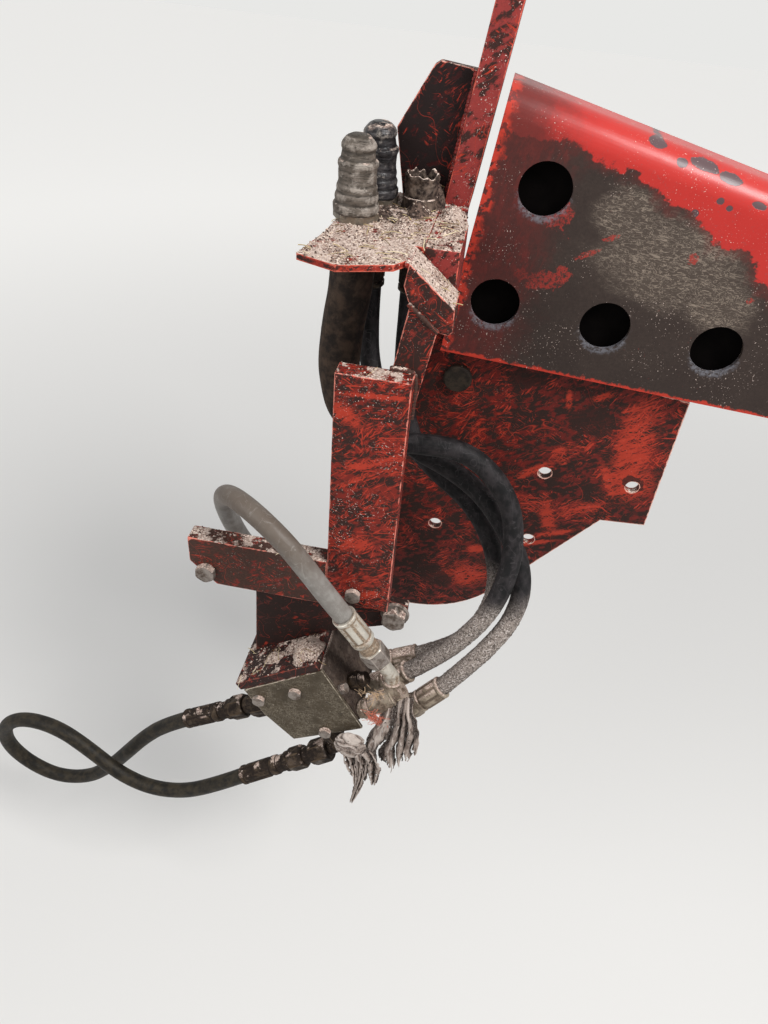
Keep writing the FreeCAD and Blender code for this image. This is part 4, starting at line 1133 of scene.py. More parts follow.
# node, seat, way out, first chain, way of the hose, second chain, finish
HOSE_ENDS = [
    ("end_mid", port(1), ALONG, [STEM, SWIVEL], (0.72, 0.10, 0.69), [FERRULE], dusty_steel),
    ("end_inner", port(2), ALONG, [STEM, SWIVEL], (0.90, 0.118, 0.419), [FERRULE], dusty_steel),
    ("end_loop_up", on_block(BLOCK_EDGE, 0.070, 0.037), -ALONG,
     [("round", 0.010, 0.010), ("hex", 0.038, 0.042)], -ALONG, SIDE_CHAIN, dark_steel),
    ("end_loop_low", on_block(0.056, BLOCK_HEIGHT, 0.017), DOWN,
     [("round", 0.0095, 0.012), ("hex", 0.030, 0.026), ("round", 0.010, 0.022)], (-0.81, -0.105, -0.575),
     [("round", 0.010, 0.024), ("hex", 0.034, 0.030)] + SIDE_CHAIN, dark_steel),
    ("end_grey_right", HIGH_START + HIGH_LINE * BOSS, HIGH_LINE, [("round", 0.0095, 0.0096)],
     (-0.47, -0.167, 0.866), [("round", 0.0095, 0.040), ("hex", 0.031, 0.030), ("round", 0.0135, 0.018),
                              ("ferrule", 0.016, 0.056)], pale_steel),
    ("end_grey_left", on_block(0.030, 0.045, BLOCK_DEPTH), INWARDS, [("round", 0.0095, 0.030)],
     (-0.45, -0.08, 0.89), [("round", 0.0095, 0.022), ("hex", 0.031, 0.024), ("ferrule", 0.016, 0.056)],
     dark_steel),
]

# %% Hose ends
NUT_REACH = {"end_grey_right": (0.041, 0.069)}
for node, seat, out, first, way, second, finish in HOSE_ENDS:
    way = Vector(way).normalized()
    body, corner = run_of_rings(seat, out, first)
    tail, _ = run_of_rings(corner, way, second)
    parts = [body, tail]
    if out.angle(way) > 0.05:
        form, size, _ = first[-1]
        parts.append(ball(corner, size if form == "round" else size * 0.42))
    piece = auto_smooth(joined(node + "_steel", parts))
    piece.data.materials.append(finish)
    if node in NUT_REACH:
        low, high = NUT_REACH[node]
        piece.data.materials.append(bolt_steel)
        for face in piece.data.polygons:
            if low < (face.center - corner).dot(way) < high:
                face.material_index = 1
    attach(piece, CONSOLE)
    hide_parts(node)
for node in ("end_rear", "end_stub"):
    chain = [("ferrule", 0.016, 0.044), ("hex", 0.031, 0.020), ("round", 0.0094, 0.010)]
    body, _ = run_of_rings(foot_of(node), UP, chain)
    piece = auto_smooth(joined(node + "_steel", [body]))
    stands_for(piece, node, dark_steel)
print("hose ends:", len(HOSE_ENDS) + 2)


# %% [markdown]
# ## Cross adaptor
#
# On the first port sits an adaptor with a branch up, for the grey hose, and a branch down, for a hose that
# comes from the couplers. The real one is forged in one piece and then turned, so it is made of the same
# rings as the ends, on the axes of its body and its branches.

# %% Cross adaptor
def cross_piece():
    """Neck, body and six-sided end with its blind hole, a branch up and a branch down to a crimped end."""
    rows, reach = [], 0.0
    for form, size, length in CROSS:
        rows += [(reach + d, kind, s, limit) for d, kind, s, limit in ROWS[form](size, length)]
        reach += length
    rows += [(reach, "round", CROSS_HOLE, 1.0), (reach - CROSS_HOLE_DEPTH, "round", CROSS_HOLE * 0.95, 1.0)]
    root, _ = run_of_rings(port(0), ALONG, [("round", 0.0115, 0.007)])
    boss, _ = run_of_rings(HIGH_START, HIGH_LINE, [("round", 0.0115, BOSS)])
    branch, knuckle = run_of_rings(LOW_START, LOW_LINE, [("round", 0.011, LOW_BRANCH)])
    tail, _ = run_of_rings(knuckle, LOW_OUT, [("round", 0.0095, 0.006), ("hex", 0.031, 0.016), FERRULE])
    return joined("end_outer_steel", [root, lathe(CROSS_START, CROSS_LINE, rows), boss, branch,
                                      ball(knuckle, 0.011), tail])


cross = auto_smooth(cross_piece())
stands_for(cross, "end_outer", dusty_steel)
print("cross adaptor has", len(cross.data.vertices), "points")


# %% [markdown]
# ## Rubber
#
# Hose rubber is black when new. Here the upper bends are black and smooth, the lower stretches are coated
# with grit, the looped hose is brown-black with grease, and one younger hose is grey. The finish reads the
# UV map of the sweep, because wear on a hose runs along it, and Object coordinates don't follow it round a
# bend.


# %% Hose finishes
def rubber(name, dark, pale, grit, shine=0.55, bend=None):
    """grit is the height below which crumbs coat the hose, or None; bend is the colour of its dirty top."""
    f = Finish(name)
    line = f.node("ShaderNodeUVMap", {"uv_map": "along"}, {})
    drawn = f.stretched((9.0, 55.0, 1.0), at=line)
    streaks = f.noise(1.0, 4.0, 0.6, at=drawn)
    base = f.mix(f.band(streaks * 0.5 + f.noise(70.0, 4.0) * 0.5, 0.40, 0.62), dark, pale)
    if bend:
        base = f.mix(f.band(f.part("Z") + (f.noise(30.0, 3.0) - 0.5) * 0.06, 0.015, 0.085) * 0.85, base, bend)
    scuffs = f.lines(60.0, 0.012, f.stretched((1.0, 1.0, 0.5)), 0.8)
    base = f.mix(scuffs * (0.5 if grit is not None else 0.15), base, shade(pale, 1.8, 0.02))
    rough = shine + f.noise(50.0, 3.0) * 0.2
    height = f.noise(500.0, 3.0) * 0.5 + streaks * 0.4
    if grit is not None:
        low = f.band(f.part("Z") + (f.noise(20.0, 3.0) - 0.5) * 0.05, grit + 0.015, grit - 0.025)
        lot = f.cells(700.0)
        cover = low * f.band(f.noise(300.0, 5.0, 0.7) + f.part("Z", f.normal) * 0.13 + lot * 0.05, 0.38, 0.46)
        crust = f.mix(f.band(lot, 0.05, 0.55), colour(92, 83, 77), colour(146, 135, 127))
        crust = f.mix(f.band(lot, 0.78, 0.95), crust, colour(186, 176, 169))
        base = f.mix(cover, base, crust)
        rough = rough + cover * 0.3
        height = height + cover * (1.0 + lot * 2.0)
    return f.done(base, rough, 0.0, height, 0.0008, 0.7)


black_rubber = rubber("black hose rubber", colour(14, 13, 14), colour(44, 40, 41), -0.045)
loop_rubber = rubber("brown hose rubber", colour(22, 19, 15), colour(52, 45, 34), None, 0.45)
grey_rubber = rubber("grey hose rubber", colour(124, 118, 112), colour(142, 138, 132), None, 0.34,
                     colour(92, 80, 70))
sleeve_rubber = rubber("boot rubber", colour(28, 21, 17), colour(66, 52, 42), None, 0.7)
HOSE_FINISH = {"hose_outer": black_rubber, "hose_mid": black_rubber, "hose_inner": black_rubber,
               "hose_loop": loop_rubber, "hose_grey": grey_rubber}
for name, piece in hoses.items():
    stands_for(piece, name, HOSE_FINISH[name])
print("hoses declared:", len(hoses))

# %% [markdown]
# ## Rubber boot
#
# The front coupler's hose wears a thick rubber boot, from under the shelf down to a clip. It is swept like
# a hose, only wider, and noise dents its wall a little, because thick rubber buckles where it is bent.

# %% Rubber boot round the front coupler's hose
BOOT_ROUTE = [(-0.196, -0.093, 0.373), (-0.196, -0.093, 0.325), (-0.205, -0.094, 0.268),
              (-0.207, -0.099, 0.212), (-0.186, -0.115, 0.164), (-0.137, -0.125, 0.146)]
BOOT_RADIUS = 0.025


def boot_girth(along, angle):
    spot = Vector((math.cos(angle) * 2.2, math.sin(angle) * 2.2, along * 26.0))
    wave = noise.fractal(spot, 1.0, 2.0, 3)
    return BOOT_RADIUS * (1.0 - 0.02 - 0.02 * abs(wave))


boot = sweep("hose_sleeve_rubber", centreline(BOOT_ROUTE, RING_STEP), boot_girth, 48)
stands_for(boot, "hose_sleeve", sleeve_rubber)
print("boot has", len(boot.data.vertices), "points")

# %% [markdown]
# ## Dust caps and the open stub
#
# Each coupler wears a ringed rubber cap, moulded in steps so that a gloved hand can grip it. A coarse
# profile with a Subdivision modifier would lose those steps, so the profile is sampled finely and eased a
# little, and the skin gets folds and dents. The caps move, so each is one closed shell with its own hollow.
# The third coupling stands open. It comes from the same rings, and noise tears its rim and crusts its wall.

# %% Cap profile
CAP_RINGS = [(23.5, 0.0), (24.5, 2.0), (24.5, 8.0), (22.6, 9.6), (22.9, 16.0), (22.2, 18.5), (21.0, 20.0),
             (21.4, 25.0), (20.0, 28.0), (19.7, 36.0), (20.0, 43.0), (21.0, 45.0), (21.0, 49.0), (18.0, 51.5),
             (17.2, 56.0), (16.6, 59.5), (18.2, 61.5), (18.2, 64.5), (16.0, 68.0), (13.0, 71.5), (9.0, 73.6)]
CAP_HOLLOW = [(12.5, 61.5), (14.2, 54.0), (15.6, 51.5), (15.8, 42.0), (18.1, 40.0), (18.1, 27.0), (20.0, 24.0),
              (20.0, 0.6)]


def eased(profile, step, rounds):
    """A profile sampled every step and smoothed a few times, ends kept."""
    fine = []
    for (r0, h0), (r1, h1) in zip(profile, profile[1:]):
        count = max(1, round(math.hypot(r1 - r0, h1 - h0) / step))
        fine += [(r0 + (r1 - r0) * i / count, h0 + (h1 - h0) * i / count) for i in range(count)]
    fine.append(profile[-1])
    for _ in range(rounds):
        fine = [fine[0]] + [tuple((a + 2 * b + c) / 4 for a, b, c in zip(p, q, s))
                            for p, q, s in zip(fine, fine[1:], fine[2:])] + [fine[-1]]
    return fine


def cap_piece(name, node, body, finish, seed):
    """Moulded cap on its coupler, standing for its solid."""
    foot = foot_of(node)
    outside = eased(CAP_RINGS, 0.8, 2)
    inside = [(0.2, CAP_HOLLOW[0][1])] + CAP_HOLLOW
    rows = [(h * MM, "round", r * MM, 1.0) for r, h in inside + outside + [(0.2, 73.9)]]
    points, faces, _ = lathe(foot, UP, rows, 72)
    relief = []
    for i, (r, _) in enumerate(inside + outside + [(0.2, 73.9)]):
        near = [q for q, _ in outside[max(0, i - len(inside) - 7):max(1, i - len(inside) + 8)]]
        relief += [(r - sum(near) / len(near)) / 0.8 if i >= len(inside) else -1.0] * 72
    first_outside = len(inside) * 72
    for i in range(first_outside, len(points)):
        away = points[i] - foot
        flat = Vector((away.x, away.y, 0.0))
        spot = Vector((flat.normalized().x * 1.4, flat.normalized().y * 1.4, away.z * 110.0 + seed))
        fold = noise.fractal(spot, 1.0, 2.0, 3)
        dent = noise.noise(points[i] * 45.0 + Vector((seed, 0, 0)))
        points[i] = points[i] - flat.normalized() * (0.0009 * abs(fold) + 0.0016 * max(dent, 0.0)) \
            * min(1.0, flat.length / 0.01)
    piece = auto_smooth(joined(name, [(points, faces, relief)]), 40)
    stands_for(piece, node, finish, body)
    return piece


def cap_finish(name, dark, pale, dust, shine):
    f = Finish(name)
    wraps = f.noise(26.0, 4.0, 0.65, at=f.stretched((1.0, 1.0, 7.0)), bend=0.3)
    base = f.mix(f.band(wraps * 0.6 + f.noise(130.0, 4.0) * 0.4, 0.38, 0.64), dark, pale)
    cracks = f.lines(60.0, 0.02, f.stretched((0.8, 0.8, 5.0)), 0.6)
    base = f.mix(cracks * 0.7, base, shade(dark, 0.35))
    relief = f.attribute("relief") + (f.noise(80.0, 4.0, 0.7) - 0.5) * 0.8
    # Darker in the grooves between the rings and inside the hollow: painted shade.
    base = f.mix(f.band(relief, -0.1, -0.9) * 0.75, base, shade(dark, 0.45))
    powder = f.band(f.noise(90.0, 5.0, 0.7) + relief * 0.10, 0.62 - 0.3 * dust, 0.80 - 0.3 * dust)
    base = f.mix(powder * 0.6, base, colour(172, 162, 152))
    base, rough, heap = chaff_layer(f, base, shine + powder * 0.3, 0.35, 0.55)
    height = wraps * 0.9 - cracks * 0.8 + f.noise(420.0, 3.0) * 0.3 + heap
    return f.done(base, rough, 0.0, height, 0.0010, 0.8)


front_cap = cap_piece("cap_front_rubber", "cap_front", "front_cap",
                      cap_finish("dusty cap rubber", colour(80, 72, 64), colour(116, 106, 97), 0.46, 0.55), 3.1)
cap_piece("cap_rear_rubber", "cap_rear", "rear_cap",
          cap_finish("oily cap rubber", colour(30, 28, 30), colour(76, 72, 72), 0.22, 0.28), 8.7)
print("caps have", len(front_cap.data.vertices), "points each")

# %% Open stub with a torn, crusted rim
def stub_piece():
    low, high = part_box("stub_coupling")
    top = high.z
    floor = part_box("coupler_shelf")[1].z
    foot = Vector(((low.x + high.x) / 2, (low.y + high.y) / 2, 0.0))
    inner, outer = 0.0145, 0.019
    profile = [(0.0002, floor + 0.010), (inner, floor + 0.0105), (inner, top - 0.006),
               (inner + 0.002, top - 0.001), (outer - 0.001, top), (outer, top - 0.003),
               (outer, floor + 0.006), (outer + 0.002, floor),
               (0.015, floor - 0.0005), (0.015, low.z), (0.0002, low.z)]
    fine = eased(profile[1:7], 0.0012, 1)
    rows = [(h, "round", r, 1.0) for r, h in [profile[0]] + fine + profile[7:]]
    points, faces, relief = lathe(foot, UP, rows, 64)
    faces = [tuple(reversed(face)) for face in faces]
    for i, point in enumerate(points):
        rise = (point.z - floor - 0.012) / (top - floor - 0.012)
        if rise <= 0.0:
            continue
        flat = Vector((point.x - foot.x, point.y - foot.y, 0.0)).normalized()
        torn = 0.5 + 0.5 * noise.noise(flat * 2.3 + Vector((4.0, 0.0, 0.0)))
        crust = noise.fractal(point * 190.0, 1.0, 2.0, 4)
        lump = noise.noise(point * 75.0) * 0.0026
        out = (0.0016 * crust + lump) * min(1.0, rise * 2) - 0.0018
        points[i] = point - UP * (0.018 * torn * torn * rise) + flat * out
    piece = auto_smooth(joined("stub_crusted", [(points, faces, relief)]), 60)
    stands_for(piece, "stub_coupling", stub_crust)
    return piece


stub = stub_piece()
print("stub is", stub.name)

# %% [markdown]
# ## Couplers, bolts and the clip
#
# The couplers and collars keep their solids, because their form is right and the caps hide most of them. A
# bolt's solid is a plain prism, so each head is made again with chamfered corners, by one loop for all of
# them, on the seat that its solid has.

# %% Steel that keeps its solid
for node in ("coupler_front", "coupler_rear", "collar_front", "collar_rear"):
    nodes[node].data.materials.clear()
    nodes[node].data.materials.append(coupler_steel)
for node, finish in (("plate_plug", plug_steel), ("sleeve_clip", dark_steel), ("block_plug", bolt_steel)):
    nodes[node].data.materials.clear()
    nodes[node].data.materials.append(finish)
body, _ = run_of_rings(on_block(BLOCK_RIGHT, 0.068, 0.034), ALONG,
                       [("round", 0.0110, 0.004), ("hex", 0.024, 0.012), ("round", 0.0100, 0.011)])
cartridge = auto_smooth(joined("block_cartridge_steel", [body]))
stands_for(cartridge, "block_cartridge", dark_steel)
print("coupler steel on four nodes")


# %% Bolt heads
def bolt_head(node, flat, washer_r=None, washer_t=0.0):
    """Chamfered head on the seat of its solid, with a washer where the solid has one."""
    low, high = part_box(node)
    seat = Vector(((low.x + high.x) / 2, high.y, (low.z + high.z) / 2))
    height = high.y - low.y
    parts = []
    start = 0.0
    if washer_r:
        rows = [(0.0, "round", washer_r, 1.0), (washer_t * 0.6, "round", washer_r, 1.0),
                (washer_t, "round", washer_r - 0.0012, 1.0)]
        parts.append(lathe(seat, -INWARDS, rows))
        start = washer_t
    body, corner = flat / 2, flat / math.sqrt(3)
    rows = [(start, "hex", body, body), (start + 0.0006, "hex", body, body + 0.0002),
            (start + 0.0010, "hex", body, corner), (height * 0.78, "hex", body, corner),
            (height * 0.93, "hex", body, corner - (corner - body) * 0.6), (height, "hex", body * 0.9, body * 0.9)]
    parts.append(lathe(seat, -INWARDS, rows, 48, 0.3))
    piece = auto_smooth(joined(node + "_head", parts), 25)
    for vert in piece.data.vertices:
        vert.co += Vector(noise.noise_vector(vert.co * 160.0)) * 0.00025
    stands_for(piece, node, bolt_steel)


BOLTS = [("arm_bolt", 0.0235, None, 0.0), ("post_bolt", 0.0185, None, 0.0), ("foot_bolt", 0.0295, 0.0188, 0.004),
         ("cover_bolt_1", 0.0165, None, 0.0), ("cover_bolt_2", 0.0165, None, 0.0),
         ("cover_bolt_3", 0.0165, None, 0.0)]
for node, flat, washer_r, washer_t in BOLTS:
    bolt_head(node, flat, washer_r, washer_t)
print("bolt heads:", len(BOLTS))

# %% [markdown]
# ## Litter round the block
#
# More litter lies on the bracket's flange behind the block, and the same mounds make it. At the adaptor,
# red fibres and straw have caught. Hair curves could draw them, but a hundred thin bent tubes are enough,
# and they are plain meshes from the start.

# %% Heaps on the flange, and fibres caught at the adaptor
FLANGE_TOP = -0.014
heap("heap_flange", on_block(0.106, FLANGE_TOP, 0.027), ALONG * 0.025, INWARDS * 0.028, -DOWN, 0.014, 4.0, earth)
heap("heap_flange_left", on_block(0.050, FLANGE_TOP, 0.028), ALONG * 0.021, INWARDS * 0.012, -DOWN, 0.004, 5.0, earth)
heap("heap_flange_back", on_block(0.086, FLANGE_TOP, 0.040), ALONG * 0.020, INWARDS * 0.013, -DOWN, 0.007, 6.0, earth)


def tuft(name, centre, count, length, spread, finish, seed):
    """Fibres that curl away from one place. Lengths in metres."""
    parts = []
    for i in range(count):
        turn = Vector(noise.noise_vector(Vector((i * 3.7, seed, 0.5)))) * 2.0
        aim = Vector((turn.x, turn.y * 0.3, turn.z)).normalized()
        start = centre + Vector((wobble(i * 1.9, seed, 3.0), 0.0,
                                 wobble(i * 2.3, seed, 6.0))) * spread
        bow = Vector((-aim.z, 0.2, aim.x)) * length * 0.5 * wobble(i * 5.1, seed, 9.0)
        tube_points, tube_faces, thick = [], [], 0.00045
        for j in range(9):
            way = j / 8
            spot = start + aim * length * (way - 0.5) + bow * (1.0 - (2 * way - 1) ** 2)
            for k in range(4):
                angle = math.pi / 2 * k
                tube_points.append(spot + Vector((math.cos(angle), 0.3, math.sin(angle))) * thick)
        for j in range(8):
            for k in range(4):
                a, b = j * 4 + k, j * 4 + (k + 1) % 4
                tube_faces.append((a, b, b + 4, a + 4))
        tube_faces += [(3, 2, 1, 0), (32, 33, 34, 35)]
        parts.append((tube_points, tube_faces, [0.0] * len(tube_points)))
    piece = joined(name, parts)
    piece.data.materials.append(finish)
    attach(piece, CONSOLE)


def fibre_finish(name, dark, pale):
    f = Finish(name)
    return f.done(f.mix(f.noise(160.0, 3.0), dark, pale), 0.9)


tuft("fibres_red", port(0) + Vector((0.0240, -0.0240, 0.020)), 70, 0.014, 0.026,
     fibre_finish("red fibres", colour(168, 70, 54), colour(232, 150, 124)), 2.0)
tuft("fibres_straw", port(0) + Vector((0.0200, -0.0150, 0.058)), 30, 0.014, 0.036,
     fibre_finish("caught straw", colour(156, 128, 98), colour(228, 196, 160)), 7.0)
print("fibres caught: 100")

# %% [markdown]
# ## The shredded rag
#
# Somebody tied a rag round a leaking fitting, and it has rotted into strips. It is one sheet of cloth that
# hangs in deep folds from the fitting and narrows to a frayed tip, with a knot beside it. A cloth
# simulation would smooth away what makes it a rag, its tears and stiff greasy folds. So the folds are laid
# by formula, faces are left out where the cloth is torn, and a Solidify modifier gives it its thickness.

# %% Rag cloth
# Three lines across the fan of strips, each from its left to its right edge: top, middle, end
RAG_LINES = [[(34, 22), (52, 44), (70, 53)], [(14, -44), (50, -24), (86, 2)],
             [(14, -124), (50, -98), (85, -44)]]
RAG_COLUMNS, RAG_ROWS, RAG_FOLDS = 132, 84, 4.4
RAG_DEPTH = 0.0078
TAILS = [([(0, -56), (4, -78), (9, -102), (10, -134), (8, -166), (3, -185)], 19.0),
         ([(10, -52), (16, -80), (17, -112), (10, -150)], 17.0),
         ([(-10, -60), (-3, -84), (4, -106), (6, -128)], 13.0),
         ([(12, -46), (24, -60), (32, -84), (34, -116)], 26.0)]
KNOT_CENTRE, KNOT_SIZE = (-6.0, -44.0), (0.0245, 0.0100, 0.0265)
SHEET_Y, KNOT_Y = port(0).y - 0.02275, BLOCK_CORNER.y - 0.01655


def through(points, share):
    """Point at a share of the way along the arc through three points."""
    a, b, c = (Vector((x, 0.0, z)) for x, z in points)
    return (a * (2 * (share - 0.5) * (share - 1)) + b * (-4 * share * (share - 1))
            + c * (2 * share * (share - 0.5)))


def strip_at(u, v):
    """Which fold a point of the fan lies in; folds are uneven and wander on their way down."""
    return (u + 0.11 * math.sin(7.0 * u + 1.0)) * RAG_FOLDS + 0.55 * wobble(u * 2.5, v * 2.2, 1.0)


def rag_fan():
    """A gathered sheet in deep folds, torn along its valleys, with a frayed end."""
    points, faces, relief = [], [], []
    wide = RAG_COLUMNS + 1
    for j in range(RAG_ROWS + 1):
        v = j / RAG_ROWS
        for i in range(wide):
            u = i / RAG_COLUMNS
            top, middle, end = (through(line, u) for line in RAG_LINES)
            flat = through([(q.x, q.z) for q in (top, middle, end)], v)
            fold = math.cos(2 * math.pi * strip_at(u, v))
            fold = math.copysign(abs(fold) ** 0.6, fold)
            crease = wobble(u * 24.0, v * 4.0, 5.0) + 0.6 * wobble(u * 60.0, v * 9.0, 8.0)
            depth = (fold * 0.66 + 0.34 * crease) * (0.6 + 0.4 * v)
            relief.append(fold * 0.7 + crease * 0.8)
            drift = Vector((wobble(u * 12.0, v * 7.0, 2.0), 0.0,
                            wobble(u * 14.0, v * 6.0, 6.0))) * 0.0030
            hooked = 0.020 * max(0.0, 1.0 - v / 0.14) ** 2
            away = SHEET_Y - port(0).y - RAG_DEPTH * depth * min(1.0, 0.3 + v * 4.0) + hooked
            points.append(port(0) + flat * MM + drift + Vector((0.0, away, 0.0)))
    for j in range(RAG_ROWS):
        for i in range(RAG_COLUMNS):
            u, v = (i + 0.5) / RAG_COLUMNS, j / RAG_ROWS
            strip = strip_at(u, v)
            valley = abs(strip - math.floor(strip) - 0.5)
            opens = 0.30 + 0.45 * wobble(math.floor(strip) * 5.3, 2.0, 3.0)
            gap = 0.20 * max(0.0, v - opens) + 0.04 * wobble(i * 0.3, j * 0.11, 7.0)
            hole = wobble(i * 0.16, j * 0.07, 12.0) > 0.66
            ends = 0.90 + 0.30 * wobble(math.floor(strip + 0.5) * 3.1, i * 0.5, 3.0)
            if valley < gap or v > ends or hole:
                continue
            a = j * wide + i
            faces.append((a, a + 1, a + wide + 1, a + wide))
    return points, faces, relief


def ribbon(path, width, middle_y, depth, seed):
    """A limp torn strip along a path."""
    line = centreline([port(0) + Vector((x, 0.0, z)) * MM for x, z in path], 0.0022)
    points, faces, relief, wide = [], [], [], 15
    for j, spot in enumerate(line):
        ahead = (line[min(j + 1, len(line) - 1)] - line[max(j - 1, 0)]).normalized()
        side = Vector((-ahead.z, 0.0, ahead.x))
        way = j / (len(line) - 1)
        half = width * MM / 2 * (1.0 - 0.75 * way * way)
        for i in range(wide):
            u = i / (wide - 1) * 2 - 1
            wave = math.sin(u * 6.0 + seed + way * 6.0)
            place = spot + side * half * (u + 0.25 * wobble(u, way * 16.0, seed))
            place.y = middle_y + depth * (0.35 * wave + 0.15 * wobble(u * 3.0, way * 20.0, seed))
            points.append(place)
            relief.append(-wave)
    for j in range(len(line) - 1):
        for i in range(wide - 1):
            if wobble(i * 0.9, j * 0.25, seed) > 0.50 - 0.25 * j / len(line):
                continue
            a = j * wide + i
            faces.append((a, a + 1, a + wide + 1, a + wide))
    return points, faces, relief


def knot_lump():
    """The knot: a wad of cloth with folds that run round it."""
    centre = port(0) + Vector((KNOT_CENTRE[0], 0.0, KNOT_CENTRE[1])) * MM
    centre.y = KNOT_Y
    points, faces, _ = ball(Vector((0.0, 0.0, 0.0)), 1.0, 56, 36)
    lump, relief = [], []
    for point in points:
        around = point.z * 2.3 + point.x * 0.8 + 0.5 * noise.noise(point * 1.6)
        crease = wobble(around * 1.5, (point.x - 0.3 * point.z) * 0.55, point.y * 0.6 + 4.0)
        fine = wobble(around * 5.0, point.x * 1.2, point.y)
        bulge = min(1.0, abs(crease) * 4.0) ** 0.5
        r = 0.66 + 0.28 * bulge + 0.06 * fine
        relief.append(bulge * 2.0 - 1.0 + 0.5 * fine)
        size = Vector((point.x * KNOT_SIZE[0], point.y * KNOT_SIZE[1], point.z * KNOT_SIZE[2]))
        lump.append(centre + size * r)
    return lump, faces, relief


def rag_piece():
    tails = [ribbon(path, width, KNOT_Y - 0.002 * i, 0.012, 3.0 + 2.3 * i)
             for i, (path, width) in enumerate(TAILS)]
    return joined("rag_cloth", [rag_fan(), knot_lump()] + tails)


rag = rag_piece()
mesh = bmesh.new()
mesh.from_mesh(rag.data)
bmesh.ops.delete(mesh, geom=[v for v in mesh.verts if not v.link_faces], context="VERTS")
mesh.to_mesh(rag.data)
RAG_AREA = sum(face.calc_area() for face in mesh.faces)
mesh.free()
thick = rag.modifiers.new("cloth thickness", "SOLIDIFY")
thick.thickness = 0.0011
thick.offset = 0.0
print("rag cloth area", round(RAG_AREA * 1e4), "square centimetres")


# %% Rag finish
def rag_finish():
    f = Finish("rotten cloth")
    weave = f.noise(700.0, 3.0, 0.7, at=f.stretched((1.0, 1.0, 0.25), (0.0, 0.25, 0.0)))
    relief = f.attribute("relief") + (f.noise(140.0, 4.0, 0.7) - 0.5) * 1.2
    base = f.mix(f.band(f.noise(45.0, 4.0), 0.35, 0.65), colour(112, 96, 87), colour(166, 151, 141))
    # Dark in the valleys of the folds and pale on their ridges: painted shade and painted highlight.
    base = f.mix(f.band(relief, 0.35, -0.45) * 0.88, base, colour(40, 30, 26))
    base = f.mix(f.band(relief, 0.5, 1.1) * 0.6, base, colour(214, 202, 192))
    base = f.mix(f.band(weave, 0.47, 0.62) * 0.4, base, colour(196, 183, 174))
    base = f.mix(f.band(f.noise(70.0, 5.0, 0.7), 0.60, 0.68), base, colour(50, 38, 32))
    return f.done(base, 0.95, 0.0, weave + f.noise(120.0, 3.0), 0.0012, 0.8)


stands_for(rag, "rag", rag_finish())

# %% [markdown]
# ## Chaff on what looks up
#
# Crumbs of earth and chaff lie on the shelf, the bars and the heaps. Placing them one by one in Python
# would take minutes. Geometry Nodes scatter them at once: points on the faces that look up, a small
# irregular stone on each point, turned and sized at random with a fixed seed. The tree ends in Realize
# Instances and Set Material, and its result becomes one plain mesh.

# %% Beds: the faces that look up
BED_AMOUNT = {"coupler_shelf": 1.0, "foot_bar": 0.8, "elbow_bar": 0.55, "post": 0.3, "arm": 0.22,
              "bracket_flange": 0.20, "heap_stub": 0.35, "heap_back": 0.30, "heap_shelf": 0.3,
              "heap_corner": 1.1, "heap_foot": 1.1, "heap_flange": 1.1,
              "heap_flange_left": 0.9, "heap_flange_back": 0.9}


def bed_of(names, least_up=0.55):
    """One mesh of the upward faces of several plates, with how much lies on each."""
    points, faces, cover = [], [], []
    for name in names:
        mesh = plates[name].data
        used = {}
        for face in mesh.polygons:
            if face.normal.z < least_up:
                continue
            corners = []
            for v in face.vertices:
                if v not in used:
                    used[v] = len(points)
                    spot = mesh.vertices[v].co.copy()
                    clump = 0.5 + 0.5 * noise.fractal(spot * 30.0, 1.0, 2.0, 3)
                    points.append(spot)
                    cover.append(BED_AMOUNT[name] * min(1.0, max(0.0, clump * 1.9 - 0.35)))
                corners.append(used[v])
            faces.append(tuple(corners))
    bed = add_mesh("bed", points, faces)
    store(bed, "cover", cover)
    return bed


# %% The scatter tree
def group_input(tree, label, kind, value=None):
    socket = tree.interface.new_socket(label, in_out="INPUT", socket_type=kind)
    if value is not None:
        socket.default_value = value
    return socket


